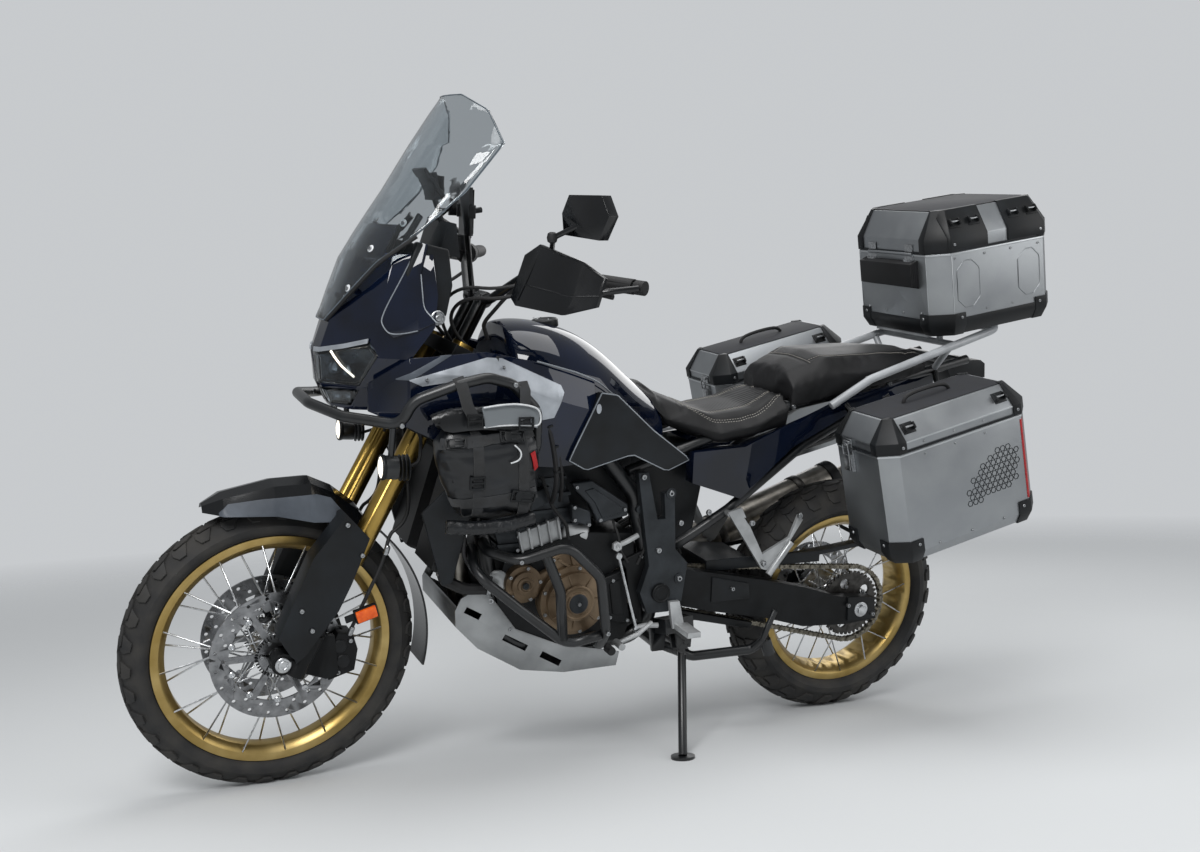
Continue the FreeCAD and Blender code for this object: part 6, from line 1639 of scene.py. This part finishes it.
unions = turned_set([((1412, 104, 396), (-0.3, 0.2, 1)), ((1336, 132, 596), (-0.3, 0, 1))],
                    [(6, -4), (7, 0), (7, 14), (5, 18)], 16, 0)
steer(both_sides(unions), "hose_unions", "zinc_bolt")

# Cables of the bars: one piece, drawn where the turned bars put it, on no moving body
bar_cables = [hose([(1004, 240, 1236), (1076, 200, 1196), (1150, 120, 1196), (1176, 74, 1150),
                    (1150, 70, 1090), (1110, 64, 1060)], 4.5),
              hose([(1010, 250, 1252), (1090, 210, 1220), (1168, 120, 1222), (1196, 60, 1160),
                    (1164, 50, 1080), (1120, 44, 1050)], 4),
              hose([(1030, 200, 1240), (1060, 150, 1200), (1098, 100, 1130), (1080, 88, 1090)],
                   5),
              hose([(1004, -240, 1236), (1076, -200, 1196), (1150, -120, 1196),
                    (1176, -74, 1150), (1150, -70, 1090), (1110, -64, 1060)], 4.5)]
cables = stand(joined(bar_cables), "bar_cables", STEERED, "matt_rubber", None)
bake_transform(cables)

# Rear: lamp, number plate, indicators, rack and exhaust details
tail_lamp = lofted([[(-226, -46, 958), (-226, 46, 958), (-226, 40, 994), (-226, -40, 994)],
                    [(-238, -40, 962), (-238, 40, 962), (-236, 34, 989), (-236, -34, 989)]])
fixed(ease_edges(face_outwards(tail_lamp), 1.5), "tail_lamp", "red_reflector")
plate_face = sheet_panel([(-540, 790), (-545, 790), (-605, 640), (-600, 640)], -88, 88, 1.5, 1)
fixed(plate_face, "number_plate", "blank_plate")
rear_disc = sheet_panel([(-604, 634), (-608, 634), (-618, 604), (-614, 604)], -34, 34, 1, 1)
fixed(rear_disc, "rear_reflector", "red_reflector")
stalk = hose([(-512, 78, 770), (-512, 130, 772)], 6, 2)
pod = turned((-512, 142, 774), (-1, 0, 0), [(9, -14), (15, -10), (16, 4), (14, 8)], 6, 1.6)
amber = turned((-519, 142, 774), (-1, 0, 0), [(13, 0), (12, 4), (4, 5)], 6, 0.8)
fixed(both_sides(joined([stalk, pod])), "indicators", "satin_plastic")
fixed(both_sides(amber), "indicator_lenses", "orange_reflector")
rack_bolts = bolts([((138, 157, 918), (0, 1, 0.3)), ((36, 157, 980), (0, 1, 0.3)),
                    ((-214, 157, 1060), (0, 1, 0.3)), ((240, 126, 905), (0, 1, 0)),
                    ((-60, 126, 960), (0, 1, 0))], 7, 6)
fixed(both_sides(rack_bolts), "rack_bolts", "zinc_bolt")
silencer = Vector((436, -216, 410)), Vector((-150, -244, 610))
away = (silencer[1] - silencer[0]).normalized()
end_cap = turned(silencer[1], away,
                 [(58, -34), (59, -30), (59, -4), (54, 2), (44, 4), (30, 4), (28, -14)], 44, 1)
inlet = turned(silencer[0], away, [(40, 0), (58, 26), (59, 40), (57, 44)], 44, 1)
fixed(joined([end_cap, inlet]), "exhaust_caps", "black_cast")
straps = turned_set([(silencer[0].lerp(silencer[1], share), away) for share in (0.3, 0.78)],
                    [(58, -12), (59.4, -10), (59.4, 10), (58, 12)], 48, 0)
fixed(straps, "exhaust_straps", "dark_steel")
outlet = turned(silencer[1] + away * 2, away,
                [(24, -8), (26, 0), (26, 12), (22, 12), (21, -6)], 32, 0.6)
fixed(outlet, "exhaust_outlet", "brushed_stainless")
fins = turned_set([((1306 + 9 * number, side * 236, 819), AHEAD) for side in (1, -1)
                   for number in range(3)], [(26, -1.5), (30, -0.8), (30, 0.8), (26, 1.5)], 36, 0)
fixed(fins, "aux_lamp_fins", "black_cap")
bezels = turned_set([((1364, side * 236, 822), (1, 0, 0.02)) for side in (1, -1)],
                    [(28, -6), (29.5, 0), (28, 4), (25, 4), (24, 1)], 40, 0.5)
fixed(bezels, "aux_lamp_bezels", "black_cap")
lenses = turned_set([((1365, side * 236, 822), (1, 0, 0.02)) for side in (1, -1)],
                    [(24, 0), (24, 2), (16, 5), (3, 6.5)], 40, 0)
fixed(lenses, "aux_lamp_lenses", "lit_lamp")
bar_bolts = bolts([((1331, 284, 923), (0.2, 1, 0)), ((1083, 316, 1012), (0, 1, 0)),
                   ((828, 302, 400), (0, 1, 0)), ((1053, 302, 596), (0, 1, 0)),
                   ((1446, 122, 940), (0.6, 0.8, 0)), ((1476, 104, 944), (0.7, 0.7, 0))], 6, 5)
fixed(both_sides(bar_bolts), "crash_bar_bolts", "zinc_bolt")

# Camera, lights and floor


CAMERA_PLACE = Vector((1.334, 2.952, 0.828))
CAMERA_TURNS = (-112.863, 0.102, -2.269)  # heading, rise and tilt in degrees
SENSOR_MM = 36
FOCAL_SHARE = 1252.04 / 1200  # focal length by the picture's width, as the camera was fitted


def camera():
    """The photograph's viewpoint: low on the bike's left front, tilted a little."""
    heading, rise, tilt = (math.radians(angle) for angle in CAMERA_TURNS)
    view = Vector((math.cos(rise) * math.cos(heading), math.cos(rise) * math.sin(heading),
                   math.sin(rise)))
    level = view.cross(Vector((0, 0, 1))).normalized()
    over = level.cross(view)
    right = level * math.cos(tilt) + over * math.sin(tilt)
    up = over * math.cos(tilt) - level * math.sin(tilt)
    bpy.ops.object.camera_add()
    made = bpy.context.object
    made.data.sensor_width = SENSOR_MM
    made.data.lens = SENSOR_MM * FOCAL_SHARE
    made.matrix_world = (Matrix.Translation(CAMERA_PLACE)
                         @ Matrix((right, up, -view)).transposed().to_4x4())
    bpy.context.scene.camera = made


# name, place, what it aims at, size in metres, watts
LIGHTS = (
    ("key_light", (2.4, 3.4, 3.4), (0, 0, 0.6), 1.8, 150),
    ("fill_light", (-3.4, 2.6, 2.0), (0, 0, 0.7), 2.4, 34),
    ("back_light", (-2.8, -2.8, 2.8), (0, 0, 0.8), 2.6, 42),
    ("top_light", (0, 0.4, 4.2), (0, 0, 0), 3.0, 80),
)
FLOOR_FADE = (2.6, 7.5)  # metres from the middle where the floor starts and ends to fade
WORLD_LIGHT = (0.46, 0.78)  # the world's strength as light, and as the camera sees it


def area_light(name, place, aim, size, watts):
    bpy.ops.object.light_add(type="AREA", location=place)
    made = bpy.context.object
    made.name = name
    made.data.shape = "SQUARE"
    made.data.size = size
    made.data.energy = watts
    made.rotation_euler = (Vector(aim) - Vector(place)).to_track_quat("-Z", "Y").to_euler()


def studio():
    """A pale floor that fades into a pale world, with a soft key, fill, back and top light."""
    for light in LIGHTS:
        area_light(*light)
    bpy.ops.mesh.primitive_circle_add(vertices=96, radius=30, fill_type="NGON")
    floor = bpy.context.object
    floor.name = "studio_floor"
    material = bpy.data.materials.new("studio_floor")
    material.use_nodes = True
    tree = material.node_tree
    shader = tree.nodes["Principled BSDF"]
    shader.inputs["Base Color"].default_value = linear("#cfd1d2")
    shader.inputs["Roughness"].default_value = 0.9
    shader.inputs["Specular IOR Level"].default_value = 0.2
    place = add_node(tree, "ShaderNodeTexCoord")
    reach = add_node(tree, "ShaderNodeVectorMath", {"operation": "LENGTH"},
                     [("Vector", place, "Object")])
    start, end = FLOOR_FADE
    fade = add_node(tree, "ShaderNodeMapRange", {"From Min": start, "From Max": end},
                    [("Value", reach, "Value")])
    clear = add_node(tree, "ShaderNodeBsdfTransparent")
    blend = add_node(tree, "ShaderNodeMixShader", None, [("Fac", fade, "Result")])
    tree.links.new(shader.outputs["BSDF"], blend.inputs[1])
    tree.links.new(clear.outputs["BSDF"], blend.inputs[2])
    tree.links.new(blend.outputs["Shader"], tree.nodes["Material Output"].inputs["Surface"])
    floor.data.materials.append(material)
    world = bpy.data.worlds.new("studio_world")
    bpy.context.scene.world = world
    world.use_nodes = True
    background = world.node_tree.nodes["Background"]
    background.inputs["Color"].default_value = linear("#dfe2e5")
    rays = add_node(world.node_tree, "ShaderNodeLightPath")
    strength = dict(zip(("To Min", "To Max"), WORLD_LIGHT))
    seen = add_node(world.node_tree, "ShaderNodeMapRange", strength,
                    [("Value", rays, "Is Camera Ray")])
    world.node_tree.links.new(seen.outputs["Result"], background.inputs["Strength"])
    bpy.context.scene.view_settings.view_transform = "Standard"


camera()
studio()
